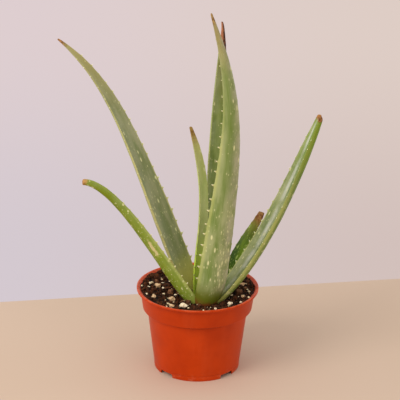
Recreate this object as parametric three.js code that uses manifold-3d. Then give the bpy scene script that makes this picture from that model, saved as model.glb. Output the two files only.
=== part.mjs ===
// A young aloe in a thin moulded nursery pot: the pot, its potting mix with loose grains, a short buried stem
// and seven toothed succulent leaves. Millimetres, +Z up; the footprint's middle on the floor is the origin.
import * as THREE from "three";
import { ParametricGeometry } from "three/addons/geometries/ParametricGeometry.js";
import { mergeVertices } from "three/addons/utils/BufferGeometryUtils.js";
import Module from "manifold-3d";

// Pot: a tapered body on a foot ring, with a wider stepped band under a rolled lip.
const POT_HEIGHT = 73.5;
const LIP_RADIUS = 52.5;
const LIP_OVERHANG = 3; // how far the lip stands out past the top of the band
const LIP_THICKNESS = 2.2;
const LIP_EDGE = 1.2; // how thick the lip is at its top, where the wall has flared out to it
const LIP_FLARE = 1.9; // how far under the top the wall starts to flare
const BAND_HEIGHT = 16.5; // from the step up to the underside of the lip
const BAND_TAPER = 2.4; // how much narrower the band is at the step than under the lip
const STEP_WIDTH = 3.8; // the ledge between the band and the body
const STEP_RISE = 0.8;
const FOOT_RADIUS = 37;
const FOOT_HEIGHT = 5.3;
const FOOT_FLARE = 0.4;
const FOOT_EDGE = 0.3; // chamfer at the foot's outer edge
const WALL = 1.1;
const FLOOR_RISE = 3.8; // the floor's underside above what the pot stands on
const DRAIN_HOLE_RADIUS = 5;
const DRAIN_SLOT_RADIUS = 4;
const DRAIN_COUNT = 4;
const DRAIN_INSET = 8.5; // from the foot's outer edge to a slot's middle
const NOTCH_WIDTH = 14;
const NOTCH_HEIGHT = 3.5;
const NOTCH_BEARING = 45;

// Potting mix and the grains lying in it.
const SOIL_BELOW_LIP = 1.2; // at the wall
const SOIL_DISH = 3.5; // how much lower the mix is in the middle
const GRAIN_RISE = 0.25; // share of a grain's radius that its middle stands above the surface
const GRAIN_FLATNESS = 0.75; // a grain's height as a share of its width
const GRAIN_LUMP = 0.16; // how far its lumps stand out, as a share of its radius
const LUMP_WAVES = [3.1, 2.3, 1.7]; // how fast the lumps follow one another along X, Y and Z
const GRAIN_TURN = 7; // each grain is turned by this many times its bearing, so that no two look alike
const SCATTER_TRIES = 52; // places on a sunflower spiral
const SCATTER_REACH = 0.9; // share of the soil's radius that the spiral fills
const SCATTER_SIZE = 2.6;
const SCATTER_VARIETY = 0.25; // share by which the sizes differ
const PLANT_ZONE = 0.66; // scattered grains keep this share of the soil's radius from the plant's middle
const GRAIN_ZONE = 0.17; // and this share from the grains placed by hand
const GOLDEN_ANGLE = 137.5;

// Plant.
const PLANT_X = 9; // the plant stands a little to one side of the pot's middle
const PLANT_Y = -8;
const ROOT_DEPTH = 6; // the leaves start this far under the soil's surface
const STEM_RADIUS = 15;
const STEM_TAIL_RADIUS = 8;
const STEM_LENGTH = 22;

const CLEARANCE = 0.3; // between pieces that touch
const POT_SEGMENTS = 48;
const STEM_SEGMENTS = 16;
const LEAF_STATIONS = 20;
const LEAF_SIDES = 16;
const TIP_ROUNDNESS = 0.75; // a leaf's thickness reaches this share of its width at the tip
const CHANNEL_FADE = 0.8; // share of the channel that is gone by the tip

// Each leaf follows a curve of four points, from its root by two guide points to its tip, in millimetres from the
// plant's middle and up from the root level. width is its widest, at the share `belly` of its length; rootWidth
// and tipWidth are its ends; thickness and channel are shares of the width; facing is the bearing, in degrees
// from +X, that its grooved upper side looks towards.
const LEAVES = [
  {
    name: "leaf_centre_narrow",
    points: [[-9, 2, 0], [-15, 4, 48], [6, 4, 81], [-17, 6, 156]],
    width: 9, rootWidth: 10, tipWidth: 1.5, belly: 0.45, taper: 3, thickness: 0.42, channel: 0.1, facing: -50,
  },
  {
    name: "leaf_centre_back",
    points: [[3, 14, 0], [4, 20, 188], [11, 26, 235], [8, 30, 240]],
    width: 18.5, rootWidth: 22, tipWidth: 1.5, belly: 0.45, taper: 1.8, thickness: 0.3, channel: 0.12, facing: -60,
  },
  {
    name: "leaf_right_short",
    points: [[13, 12, 0], [18, 20, 30], [40, 24, 56], [46, 28, 72]],
    width: 10, rootWidth: 13, tipWidth: 3, belly: 0.3, taper: 2.3, thickness: 0.35, channel: 0.12, facing: 225,
  },
  {
    name: "leaf_left_long",
    points: [[-14, 8, 0], [-62, 22, 116], [-76, 38, 178], [-130, 52, 217]],
    width: 22, rootWidth: 20, tipWidth: 1.5, belly: 0.2, taper: 1.65, thickness: 0.3, channel: 0.14, facing: -38,
  },
  {
    name: "leaf_right_long",
    points: [[6, -8, 0], [39, 2, 29], [67, 16, 86], [93, 28, 158]],
    width: 20, rootWidth: 8, tipWidth: 6, belly: 0.3, taper: 2.5, thickness: 0.32, channel: 0.2, facing: 200,
  },
  {
    name: "leaf_centre_front",
    points: [[3, -13, 0], [18, -22, 146], [28, -32, 180], [-1, -34, 264]],
    width: 26, rootWidth: 8, tipWidth: 1.5, belly: 0.1, taper: 1.5, thickness: 0.36, channel: 0.1, facing: 112,
  },
  {
    name: "leaf_left_low",
    points: [[-9, -15, 0], [-29, -15, 16], [-75, -22, 116], [-105, -26, 117]],
    width: 12.5, rootWidth: 7, tipWidth: 5, belly: 0.2, taper: 1.6, thickness: 0.42, channel: 0.12, facing: 46,
  },
];

// Grains that stand out: bearing from +X in degrees, reach as a share of the soil's radius, and size.
const PLACED_GRAINS = [
  { kind: "perlite", bearing: 253, reach: 0.82, size: 7.5 },
  { kind: "pumice", bearing: 227, reach: 0.64, size: 6.5 },
  { kind: "pumice", bearing: 242, reach: 0.93, size: 4.5 },
  { kind: "bark", bearing: 254, reach: 0.58, size: 4.5 },
  { kind: "pumice", bearing: 172, reach: 0.71, size: 5.5 },
  { kind: "perlite", bearing: 177, reach: 0.6, size: 3 },
  { kind: "perlite", bearing: 160, reach: 0.66, size: 2.6 },
  { kind: "bark", bearing: 158, reach: 0.79, size: 3 },
  { kind: "perlite", bearing: 180, reach: 0.86, size: 3 },
  { kind: "pumice", bearing: 208, reach: 0.86, size: 4 },
  { kind: "perlite", bearing: 199, reach: 0.93, size: 2.4 },
  { kind: "bark", bearing: 196, reach: 0.49, size: 5 },
  { kind: "perlite", bearing: 213, reach: 0.45, size: 3 },
  { kind: "perlite", bearing: 226, reach: 0.9, size: 2.4 },
  { kind: "bark", bearing: 349, reach: 0.74, size: 6 },
  { kind: "pumice", bearing: 337, reach: 0.85, size: 3.5 },
  { kind: "perlite", bearing: 310, reach: 0.87, size: 4.5 },
  { kind: "perlite", bearing: 321, reach: 0.96, size: 2.2 },
  { kind: "perlite", bearing: 289, reach: 0.94, size: 3 },
  { kind: "pumice", bearing: 13, reach: 0.81, size: 5 },
  { kind: "perlite", bearing: 26, reach: 0.8, size: 3 },
  { kind: "bark", bearing: 0, reach: 0.84, size: 3.5 },
];

const FINISHES = {
  pot: { color: "#c64a20", roughness: 0.45 },
  soil: { color: "#321c11", roughness: 0.95 },
  stem: { color: "#6b6a2c", roughness: 0.8 },
  leaf: { color: "#8a9350", roughness: 0.5 },
  perlite: { color: "#e6dcc8", roughness: 0.9 },
  pumice: { color: "#d3b098", roughness: 0.9 },
  bark: { color: "#8a5c3c", roughness: 0.9 },
};

const wasm = await Module();
wasm.setup();

const radians = THREE.MathUtils.degToRad;
const clamp = THREE.MathUtils.clamp;
const mix = THREE.MathUtils.lerp;

// Heights and radii that follow from the sizes above.
const lipUnderside = POT_HEIGHT - LIP_THICKNESS;
const flareFoot = POT_HEIGHT - LIP_FLARE;
const bandTopRadius = LIP_RADIUS - LIP_OVERHANG;
const bandFootRadius = bandTopRadius - BAND_TAPER;
const stepTop = lipUnderside - BAND_HEIGHT;
const bodyTopRadius = bandFootRadius - STEP_WIDTH;
const bodyTop = stepTop - STEP_RISE;
const foldRadius = FOOT_RADIUS + FOOT_FLARE;
const floorTop = FLOOR_RISE + WALL;
const soilEdge = POT_HEIGHT - SOIL_BELOW_LIP;
const rootLevel = soilEdge - SOIL_DISH - ROOT_DEPTH;

// A geometry's solid, with its shared corners merged.
function solidOf(geometry) {
  const bare = geometry.index ? geometry.toNonIndexed() : geometry.clone();
  bare.deleteAttribute("normal");
  bare.deleteAttribute("uv");
  const merged = mergeVertices(bare, 1e-4);
  return new wasm.Manifold(
    new wasm.Mesh({
      numProp: 3,
      vertProperties: merged.attributes.position.array,
      triVerts: new Uint32Array(merged.index.array),
    }),
  );
}

// A solid turned about the Z axis from a profile of [radius, height] points, listed upwards on its outside.
function turned(profile, segments) {
  const points = profile.map(([radius, height]) => new THREE.Vector2(radius, height));
  return solidOf(new THREE.LatheGeometry(points, segments).rotateX(Math.PI / 2));
}

// The radius of the pot's inner wall at a height above its floor.
function innerRadius(height) {
  if (height > flareFoot) {
    return mix(bandTopRadius - WALL, LIP_RADIUS - LIP_EDGE, (height - flareFoot) / LIP_FLARE);
  }
  if (height > stepTop) {
    return mix(bandFootRadius, bandTopRadius, (height - stepTop) / (flareFoot - stepTop)) - WALL;
  }
  return mix(foldRadius, bodyTopRadius, (height - FOOT_HEIGHT) / (bodyTop - FOOT_HEIGHT)) - WALL;
}

function makePot() {
  const roll = LIP_THICKNESS / 2;
  const lip = new THREE.Path();
  lip.moveTo(bandTopRadius, lipUnderside);
  lip.lineTo(LIP_RADIUS - roll, lipUnderside);
  lip.absarc(LIP_RADIUS - roll, POT_HEIGHT - roll, roll, -Math.PI / 2, Math.PI / 2);
  lip.lineTo(LIP_RADIUS - LIP_EDGE, POT_HEIGHT);
  const profile = [
    [FOOT_RADIUS - FOOT_EDGE, 0],
    [FOOT_RADIUS, FOOT_EDGE],
    [foldRadius, FOOT_HEIGHT],
    [bodyTopRadius, bodyTop],
    [bandFootRadius, stepTop],
    ...lip.getPoints(6).map((point) => [point.x, point.y]),
    [bandTopRadius - WALL, flareFoot],
    [bandFootRadius - WALL, stepTop],
    [bodyTopRadius - WALL, bodyTop],
    [innerRadius(floorTop), floorTop],
    [DRAIN_HOLE_RADIUS, floorTop],
    [DRAIN_HOLE_RADIUS, FLOOR_RISE],
    [FOOT_RADIUS - WALL, FLOOR_RISE],
    [FOOT_RADIUS - WALL, 0],
    [FOOT_RADIUS - FOOT_EDGE, 0],
  ];
  let pot = turned(profile, POT_SEGMENTS);
  for (let i = 0; i < DRAIN_COUNT; i++) {
    const bearing = radians(NOTCH_BEARING + (i * 360) / DRAIN_COUNT);
    const notch = new THREE.BoxGeometry(4 * WALL + 2 * FOOT_FLARE, NOTCH_WIDTH, 2 * NOTCH_HEIGHT);
    notch.translate(FOOT_RADIUS - WALL, 0, 0).rotateZ(bearing);
    const slot = new THREE.CylinderGeometry(DRAIN_SLOT_RADIUS, DRAIN_SLOT_RADIUS, 4 * WALL, 16);
    slot.rotateX(Math.PI / 2).translate(FOOT_RADIUS - DRAIN_INSET, 0, FLOOR_RISE + WALL / 2).rotateZ(bearing);
    pot = pot.subtract(solidOf(notch)).subtract(solidOf(slot));
  }
  return pot;
}

// The height of the soil's dished surface at a distance from the pot's middle.
function soilHeight(distance) {
  const share = distance / innerRadius(soilEdge);
  return soilEdge - SOIL_DISH * (1 - share * share);
}

function makeSoil() {
  const surface = [];
  const rings = 3;
  for (let i = 0; i <= rings; i++) {
    const distance = (innerRadius(soilEdge) - CLEARANCE) * (1 - i / rings);
    surface.push([distance, soilHeight(distance)]);
  }
  const profile = [
    [0, floorTop + CLEARANCE],
    [innerRadius(floorTop) - CLEARANCE, floorTop + CLEARANCE],
    [bodyTopRadius - WALL - CLEARANCE, bodyTop],
    [bandFootRadius - WALL - CLEARANCE, stepTop + CLEARANCE],
    [bandTopRadius - WALL - CLEARANCE, flareFoot],
    ...surface,
  ];
  return turned(profile, POT_SEGMENTS);
}

// The short buried stem that the leaves stand on. growth widens it all round.
function makeStem(growth) {
  const top = rootLevel - CLEARANCE + growth;
  const profile = [[0, top - STEM_LENGTH - 2 * growth]];
  const rings = 4;
  for (let i = 1; i <= rings; i++) {
    const share = i / rings;
    const radius = mix(STEM_TAIL_RADIUS, STEM_RADIUS, share) * Math.sqrt(Math.sin((share * Math.PI) / 2));
    profile.push([radius + growth, top - STEM_LENGTH * (1 - share) - growth]);
  }
  profile.push([STEM_RADIUS + growth, top], [0, top]);
  return turned(profile, STEM_SEGMENTS).translate([PLANT_X, PLANT_Y, 0]);
}

// A leaf's width at a share of its length.
function leafWidth(leaf, along) {
  if (along < leaf.belly) {
    const left = 1 - along / leaf.belly;
    return mix(leaf.rootWidth, leaf.width, 1 - left * left);
  }
  const past = (along - leaf.belly) / (1 - leaf.belly);
  return mix(leaf.tipWidth, leaf.width, 1 - past ** leaf.taper);
}

// A point of a leaf's crescent section: grooved on its upper side, round below, with an edge at each margin.
function sectionPoint(leaf, along, angle) {
  const half = leafWidth(leaf, along) / 2;
  const across = Math.cos(angle);
  const channel = leaf.channel * (1 - CHANNEL_FADE * along);
  const thickness = mix(leaf.thickness, TIP_ROUNDNESS, along ** 4);
  const rise = 1 - across * across;
  const depth = Math.sin(angle) >= 0 ? 2 * channel * rise : 2 * (channel + thickness) * Math.sqrt(rise);
  return new THREE.Vector2(across * half, (2 * channel + thickness - depth) * half);
}

// The outward direction, square to a section's side that runs anticlockwise from one corner to the next.
function sideNormal(from, to) {
  return new THREE.Vector2(to.y - from.y, from.x - to.x).normalize();
}

// A leaf lofted along its curve, closed at both ends. growth moves every side of its section out by that much.
function makeLeaf(leaf, growth) {
  const side = (2 * Math.PI) / LEAF_SIDES;
  const spine = new THREE.CubicBezierCurve3(...leaf.points.map((point) => new THREE.Vector3(...point)));
  const facing = new THREE.Vector3(Math.cos(radians(leaf.facing)), Math.sin(radians(leaf.facing)), 0);
  const surface = (u, v, target) => {
    const step = v * LEAF_STATIONS;
    const along = clamp((step - 1) / (LEAF_STATIONS - 2), 0, 1);
    const opening = clamp(Math.min(step, LEAF_STATIONS - step), 0, 1);
    const tangent = spine.getTangentAt(along);
    const upper = facing.clone().addScaledVector(tangent, -facing.dot(tangent)).normalize();
    const across = tangent.clone().cross(upper);
    const angle = -u * 2 * Math.PI;
    const point = sectionPoint(leaf, along, angle);
    const before = sideNormal(sectionPoint(leaf, along, angle - side), point);
    const after = sideNormal(point, sectionPoint(leaf, along, angle + side));
    point.addScaledVector(before.clone().add(after), growth / (1 + before.dot(after)));
    const past = along === 0 ? -growth : along === 1 ? growth : 0;
    target.copy(spine.getPointAt(along)).addScaledVector(tangent, past);
    target.addScaledVector(across, point.x * opening).addScaledVector(upper, point.y * opening);
  };
  const geometry = new ParametricGeometry(surface, LEAF_SIDES, LEAF_STATIONS);
  return solidOf(geometry.translate(PLANT_X, PLANT_Y, rootLevel));
}

// A lumpy grain lying in the soil's surface. growth widens it all round.
function makeGrain(grain, growth) {
  const distance = grain.reach * innerRadius(soilEdge);
  const radius = grain.size / 2;
  const detail = grain.size > SCATTER_SIZE * (1 + SCATTER_VARIETY) ? 1 : 0;
  const geometry = new THREE.IcosahedronGeometry(1, detail);
  const corners = geometry.attributes.position;
  const corner = new THREE.Vector3();
  for (let i = 0; i < corners.count; i++) {
    corner.fromBufferAttribute(corners, i);
    const along = Math.sin(LUMP_WAVES[0] * corner.x + grain.bearing);
    const lump = along * Math.sin(LUMP_WAVES[1] * corner.y + LUMP_WAVES[2] * corner.z + grain.size);
    corner.multiplyScalar(radius * (1 + GRAIN_LUMP * lump) + growth);
    corners.setXYZ(i, corner.x, corner.y, corner.z * GRAIN_FLATNESS);
  }
  geometry.rotateZ(radians(grain.bearing * GRAIN_TURN));
  geometry.translate(distance, 0, soilHeight(distance) + radius * GRAIN_RISE);
  return solidOf(geometry.rotateZ(radians(grain.bearing)));
}

// Small grains on a sunflower spiral, leaving out the places near the plant and near the grains placed by hand.
function scatteredGrains() {
  const spot = (bearing, reach) => new THREE.Vector2(reach, 0).rotateAround(new THREE.Vector2(), radians(bearing));
  const plant = new THREE.Vector2(PLANT_X, PLANT_Y).divideScalar(LIP_RADIUS);
  const kinds = ["perlite", "bark", "perlite", "pumice"];
  const grains = [];
  for (let i = 0; i < SCATTER_TRIES; i++) {
    const bearing = (i * GOLDEN_ANGLE) % 360;
    const reach = SCATTER_REACH * Math.sqrt((i + 0.5) / SCATTER_TRIES);
    const here = spot(bearing, reach);
    const gaps = PLACED_GRAINS.map((other) => here.distanceTo(spot(other.bearing, other.reach)));
    if (here.distanceTo(plant) < PLANT_ZONE || Math.min(...gaps) < GRAIN_ZONE) {
      continue;
    }
    const size = SCATTER_SIZE * (1 + SCATTER_VARIETY * Math.sin(i));
    grains.push({ kind: kinds[i % kinds.length], bearing, reach, size });
  }
  return grains;
}

// Every piece that others make room for, from the innermost outwards, then the soil that is pressed round them.
const grains = [...PLACED_GRAINS, ...scatteredGrains()];
const pieces = [
  { name: "stem", finish: "stem", make: makeStem },
  ...LEAVES.map((leaf) => ({ name: leaf.name, finish: "leaf", make: (growth) => makeLeaf(leaf, growth) })),
  ...grains.map((grain, i) => ({
    name: `${grain.kind}_${String(i + 1).padStart(2, "0")}`,
    finish: grain.kind,
    make: (growth) => makeGrain(grain, growth),
  })),
];

const plant = new THREE.Group();

function addMesh(name, finish, solid) {
  const { vertProperties, triVerts } = solid.getMesh();
  const geometry = new THREE.BufferGeometry();
  geometry.setAttribute("position", new THREE.BufferAttribute(vertProperties, 3));
  geometry.setIndex(new THREE.BufferAttribute(triVerts, 1));
  geometry.computeVertexNormals();
  const mesh = new THREE.Mesh(geometry, new THREE.MeshStandardMaterial({ ...FINISHES[finish], metalness: 0 }));
  mesh.name = name;
  plant.add(mesh);
}

addMesh("pot", "pot", makePot());
let soil = makeSoil();
const placed = [];
for (const piece of pieces) {
  const solid = placed.reduce((left, taken) => left.subtract(taken), piece.make(0));
  addMesh(piece.name, piece.finish, solid);
  const room = piece.make(CLEARANCE);
  placed.push(room);
  soil = soil.subtract(room);
}
addMesh("potting_mix", "soil", soil);

// The footprint's middle, on the floor, becomes the origin.
const extent = new THREE.Box3().setFromObject(plant);
const middle = extent.getCenter(new THREE.Vector3());
plant.position.set(-middle.x, -middle.y, -extent.min.z);

const pottedAloe = new THREE.Group();
pottedAloe.add(plant);

export default pottedAloe;
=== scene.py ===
"""A young aloe in a moulded nursery pot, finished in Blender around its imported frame.

The scene is in metres, in the frame's own axes: +Z up, the floor at z = 0. Sizes of the plant and the pot
are written in millimetres. The CAD nodes give the places, each visible piece is modelled around them, and
all pieces ride on the row's one body.
"""

import logging
import math
import random
from dataclasses import dataclass, field
from enum import Enum
from typing import Sequence

import bmesh
import bpy
from mathutils import Euler, Matrix, Vector, noise


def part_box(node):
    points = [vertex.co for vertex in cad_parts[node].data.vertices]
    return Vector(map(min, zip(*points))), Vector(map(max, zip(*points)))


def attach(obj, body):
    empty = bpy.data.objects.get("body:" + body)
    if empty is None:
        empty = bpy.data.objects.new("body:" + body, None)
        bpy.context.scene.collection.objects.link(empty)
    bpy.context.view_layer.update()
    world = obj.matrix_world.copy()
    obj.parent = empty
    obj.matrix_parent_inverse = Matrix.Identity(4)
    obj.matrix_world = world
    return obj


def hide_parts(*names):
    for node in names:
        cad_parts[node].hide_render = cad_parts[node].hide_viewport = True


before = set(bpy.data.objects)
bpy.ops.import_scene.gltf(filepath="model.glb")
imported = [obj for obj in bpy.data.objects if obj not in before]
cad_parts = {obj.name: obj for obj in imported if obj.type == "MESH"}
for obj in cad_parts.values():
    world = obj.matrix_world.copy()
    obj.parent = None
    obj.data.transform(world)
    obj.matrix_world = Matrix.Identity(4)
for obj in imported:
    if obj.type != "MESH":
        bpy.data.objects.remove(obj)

LOG = logging.getLogger("potted_aloe")
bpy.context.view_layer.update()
MM = 0.001
BODY = "root"
SAME_POINT = 0.01 * MM  # points closer than this are one
UNDER_SHIFT = 0.5  # metres added across on a leaf's lower side, in its "skin" map

Triple = tuple[float, float, float]
Colour = Triple
Pair = tuple[float, float]
ToothPlace = tuple[float, int, float]
Piece = bpy.types.Object
Socket = bpy.types.NodeSocket


def srgb(red: int, green: int, blue: int) -> Colour:
    """Turns an 8-bit sRGB colour into linear light.

    Args:
        red: Red, from 0 to 255.
        green: Green, from 0 to 255.
        blue: Blue, from 0 to 255.

    Returns:
        The three channels in linear light, from 0 to 1.
    """
    channels = []
    for value in (red, green, blue):
        share = value / 255
        channels.append(share / 12.92 if share <= 0.04045 else ((share + 0.055) / 1.055) ** 2.4)
    return (channels[0], channels[1], channels[2])


def mix(low: float, high: float, share: float) -> float:
    """Blends from low to high as share goes from 0 to 1."""
    return low + (high - low) * share


# ------------------------------------------------------------------------------------------
# Working by hand, in code


class Bench:
    """The few steps that every piece is modelled with."""

    @staticmethod
    def clear() -> None:
        """Leaves edit mode and deselects everything."""
        if bpy.context.object and bpy.context.object.mode != "OBJECT":
            bpy.ops.object.mode_set(mode="OBJECT")
        bpy.ops.object.select_all(action="DESELECT")

    @staticmethod
    def pick(*objects: Piece) -> None:
        """Selects these objects alone and makes the first one active.

        Args:
            *objects: The objects to select.
        """
        Bench.clear()
        for item in objects:
            item.select_set(True)
        bpy.context.view_layer.objects.active = objects[0]

    @staticmethod
    def edit(item: Piece) -> None:
        """Opens an object in edit mode with nothing selected.

        Args:
            item: The object.
        """
        Bench.pick(item)
        bpy.ops.object.mode_set(mode="EDIT")
        bpy.ops.mesh.select_mode(type="VERT")
        bpy.ops.mesh.select_all(action="DESELECT")

    @staticmethod
    def everything() -> None:
        """Selects the whole mesh in edit mode."""
        bpy.ops.mesh.select_all(action="SELECT")

    @staticmethod
    def weld(distance: float) -> None:
        """Merges the mesh's points that lie closer than a distance in metres."""
        Bench.everything()
        bpy.ops.mesh.remove_doubles(threshold=distance)

    @staticmethod
    def face_out() -> None:
        """Turns every face of the mesh outwards."""
        Bench.everything()
        bpy.ops.mesh.normals_make_consistent(inside=False)

    @staticmethod
    def done() -> Piece:
        """Returns to object mode and gives the active object."""
        bpy.ops.object.mode_set(mode="OBJECT")
        return bpy.context.object

    @staticmethod
    def apply(item: Piece, kind: str, **settings: object) -> None:
        """Adds one modifier and applies it.

        Args:
            item: The object.
            kind: The modifier's type.
            **settings: The modifier's values by name.
        """
        Bench.pick(item)
        modifier = item.modifiers.new(kind.lower(), kind)
        for name, value in settings.items():
            setattr(modifier, name, value)
        bpy.ops.object.modifier_apply(modifier=modifier.name)

    @staticmethod
    def settle(item: Piece) -> None:
        """Moves an object's place, turn and scale into its mesh."""
        Bench.pick(item)
        bpy.ops.object.transform_apply(location=True, rotation=True, scale=True)

    @staticmethod
    def join(objects: Sequence[Piece], name: str) -> Piece:
        """Joins objects into the first one and names the result.

        Args:
            objects: The objects, the one to keep first.
            name: The new name of the object.

        Returns:
            The joined object.
        """
        Bench.pick(*objects)
        if len(objects) > 1:
            bpy.ops.object.join()
        joined = bpy.context.object
        joined.name = name
        joined.data.name = name
        return joined

    @staticmethod
    def copy(template: Piece, place: Matrix) -> Piece:
        """Copies an object with a mesh of its own and moves the copy's mesh.

        Args:
            template: The object to copy.
            place: Where the copy's mesh goes.

        Returns:
            The copy.
        """
        twin = template.copy()
        twin.data = template.data.copy()
        twin.data.transform(place)
        bpy.context.scene.collection.objects.link(twin)
        return twin

    @staticmethod
    def discard(item: Piece) -> None:
        """Removes an object that was only a pattern or a cutter."""
        bpy.data.objects.remove(item, do_unlink=True)

    @staticmethod
    def smooth(item: Piece, degrees: float) -> None:
        """Shades an object smoothly, with edges sharper than an angle left sharp."""
        Bench.pick(item)
        bpy.ops.object.shade_smooth_by_angle(angle=math.radians(degrees))


# ------------------------------------------------------------------------------------------
# Shader work


class Wiring:
    """Adds and joins nodes in one node tree."""

    def __init__(self, tree: bpy.types.NodeTree) -> None:
        """Starts on a tree."""
        self.tree = tree

    def node(self, kind: str, **settings: object) -> bpy.types.Node:
        """Adds a node.

        Args:
            kind: The node's type.
            **settings: The node's own settings by name.

        Returns:
            The node.
        """
        made = self.tree.nodes.new(kind)
        for name, value in settings.items():
            setattr(made, name, value)
        return made

    def feed(self, socket: Socket, value: object) -> None:
        """Links a socket to an output, or sets it to a constant.

        Args:
            socket: The input to feed.
            value: An output, a number, or a colour or vector as a tuple.
        """
        if isinstance(value, Socket):
            self.tree.links.new(value, socket)
        elif isinstance(value, tuple) and len(value) == 3 and socket.type == "RGBA":
            socket.default_value = (*value, 1.0)
        else:
            socket.default_value = value

    def math(self, operation: str, first: object, second: object = 0.0, third: object = 0.0) -> Socket:
        """Adds a Math node and gives its output.

        Args:
            operation: The operation's name.
            first: The first value or output.
            second: The second one.
            third: The third one.

        Returns:
            The result.
        """
        made = self.node("ShaderNodeMath", operation=operation)
        for socket, value in zip(made.inputs, (first, second, third)):
            self.feed(socket, value)
        return made.outputs[0]

    def times(self, first: object, second: object) -> Socket:
        """Multiplies two values."""
        return self.math("MULTIPLY", first, second)

    def scaled(self, value: object, factor: object, shift: object) -> Socket:
        """Multiplies a value and then adds to it."""
        return self.math("MULTIPLY_ADD", value, factor, shift)

    def band(self, value: object, low: float, high: float) -> Socket:
        """Maps a value onto 0 to 1 between two limits, in either direction, with a soft start and end.

        Args:
            value: The value or output.
            low: Where the result is 0.
            high: Where the result is 1.

        Returns:
            The result, kept within 0 and 1.
        """
        made = self.node("ShaderNodeMapRange", interpolation_type="SMOOTHSTEP")
        flipped = low > high
        self.feed(made.inputs["Value"], value)
        self.feed(made.inputs["From Min"], high if flipped else low)
        self.feed(made.inputs["From Max"], low if flipped else high)
        self.feed(made.inputs["To Min"], 1.0 if flipped else 0.0)
        self.feed(made.inputs["To Max"], 0.0 if flipped else 1.0)
        return made.outputs["Result"]

    def blend(self, share: object, first: object, second: object) -> Socket:
        """Mixes two colours.

        Args:
            share: How much of the second one.
            first: The first colour or output.
            second: The second one.

        Returns:
            The mixed colour.
        """
        made = self.node("ShaderNodeMix", data_type="RGBA")
        self.feed(made.inputs[0], share)
        self.feed(made.inputs[6], first)
        self.feed(made.inputs[7], second)
        return made.outputs[2]

    def noise(self, vector: object, scale: object, detail: float = 3.0, rough: float = 0.55) -> Socket:
        """Adds a noise texture and gives its value.

        Args:
            vector: The coordinates.
            scale: Lumps per metre.
            detail: How many finer layers.
            rough: How strong the finer layers are.

        Returns:
            The noise, about 0.5 in the middle.
        """
        made = self.node("ShaderNodeTexNoise")
        self.feed(made.inputs["Vector"], vector)
        self.feed(made.inputs["Scale"], scale)
        self.feed(made.inputs["Detail"], detail)
        self.feed(made.inputs["Roughness"], rough)
        return made.outputs["Fac"]

    def split(self, vector: object) -> bpy.types.NodeOutputs:
        """Splits a vector into its X, Y and Z.

        Args:
            vector: The vector.

        Returns:
            Its three parts.
        """
        made = self.node("ShaderNodeSeparateXYZ")
        self.feed(made.inputs[0], vector)
        return made.outputs

    def stretch(self, vector: object, scale: Triple, shift: Triple = (0.0, 0.0, 0.0)) -> Socket:
        """Scales and shifts coordinates with a Mapping node.

        Args:
            vector: The coordinates.
            scale: The factor on each axis.
            shift: How far they move, after scaling.

        Returns:
            The new coordinates.
        """
        made = self.node("ShaderNodeMapping")
        self.feed(made.inputs["Vector"], vector)
        made.inputs["Location"].default_value = shift
        made.inputs["Scale"].default_value = scale
        return made.outputs["Vector"]

    def group(self, shared: bpy.types.NodeTree, **values: object) -> bpy.types.Node:
        """Places a shared group and sets its inputs.

        Args:
            shared: The group.
            **values: The inputs by name, with _ for a space.

        Returns:
            The group's node.
        """
        made = self.node("ShaderNodeGroup", node_tree=shared)
        for name, value in values.items():
            self.feed(made.inputs[name.replace("_", " ")], value)
        return made


class SharedGroup:
    """A shader node group with named sockets, built once and used by many materials."""

    def __init__(self, name: str, inputs: dict[str, tuple[str, float]], outputs: Sequence[str]) -> None:
        """Makes the group and its sockets.

        Args:
            name: The group's name.
            inputs: Each input's name with its socket kind, Float or Vector, and its first value.
            outputs: The names of the outputs, all values.
        """
        self.tree = bpy.data.node_groups.new(name, "ShaderNodeTree")
        for label, (kind, first) in inputs.items():
            socket = self.tree.interface.new_socket(label, in_out="INPUT", socket_type=f"NodeSocket{kind}")
            if kind == "Float":
                socket.default_value = first
        for label in outputs:
            self.tree.interface.new_socket(label, in_out="OUTPUT", socket_type="NodeSocketFloat")
        self.wiring = Wiring(self.tree)
        self.inside = self.wiring.node("NodeGroupInput").outputs
        self.outside = self.wiring.node("NodeGroupOutput").inputs


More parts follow.
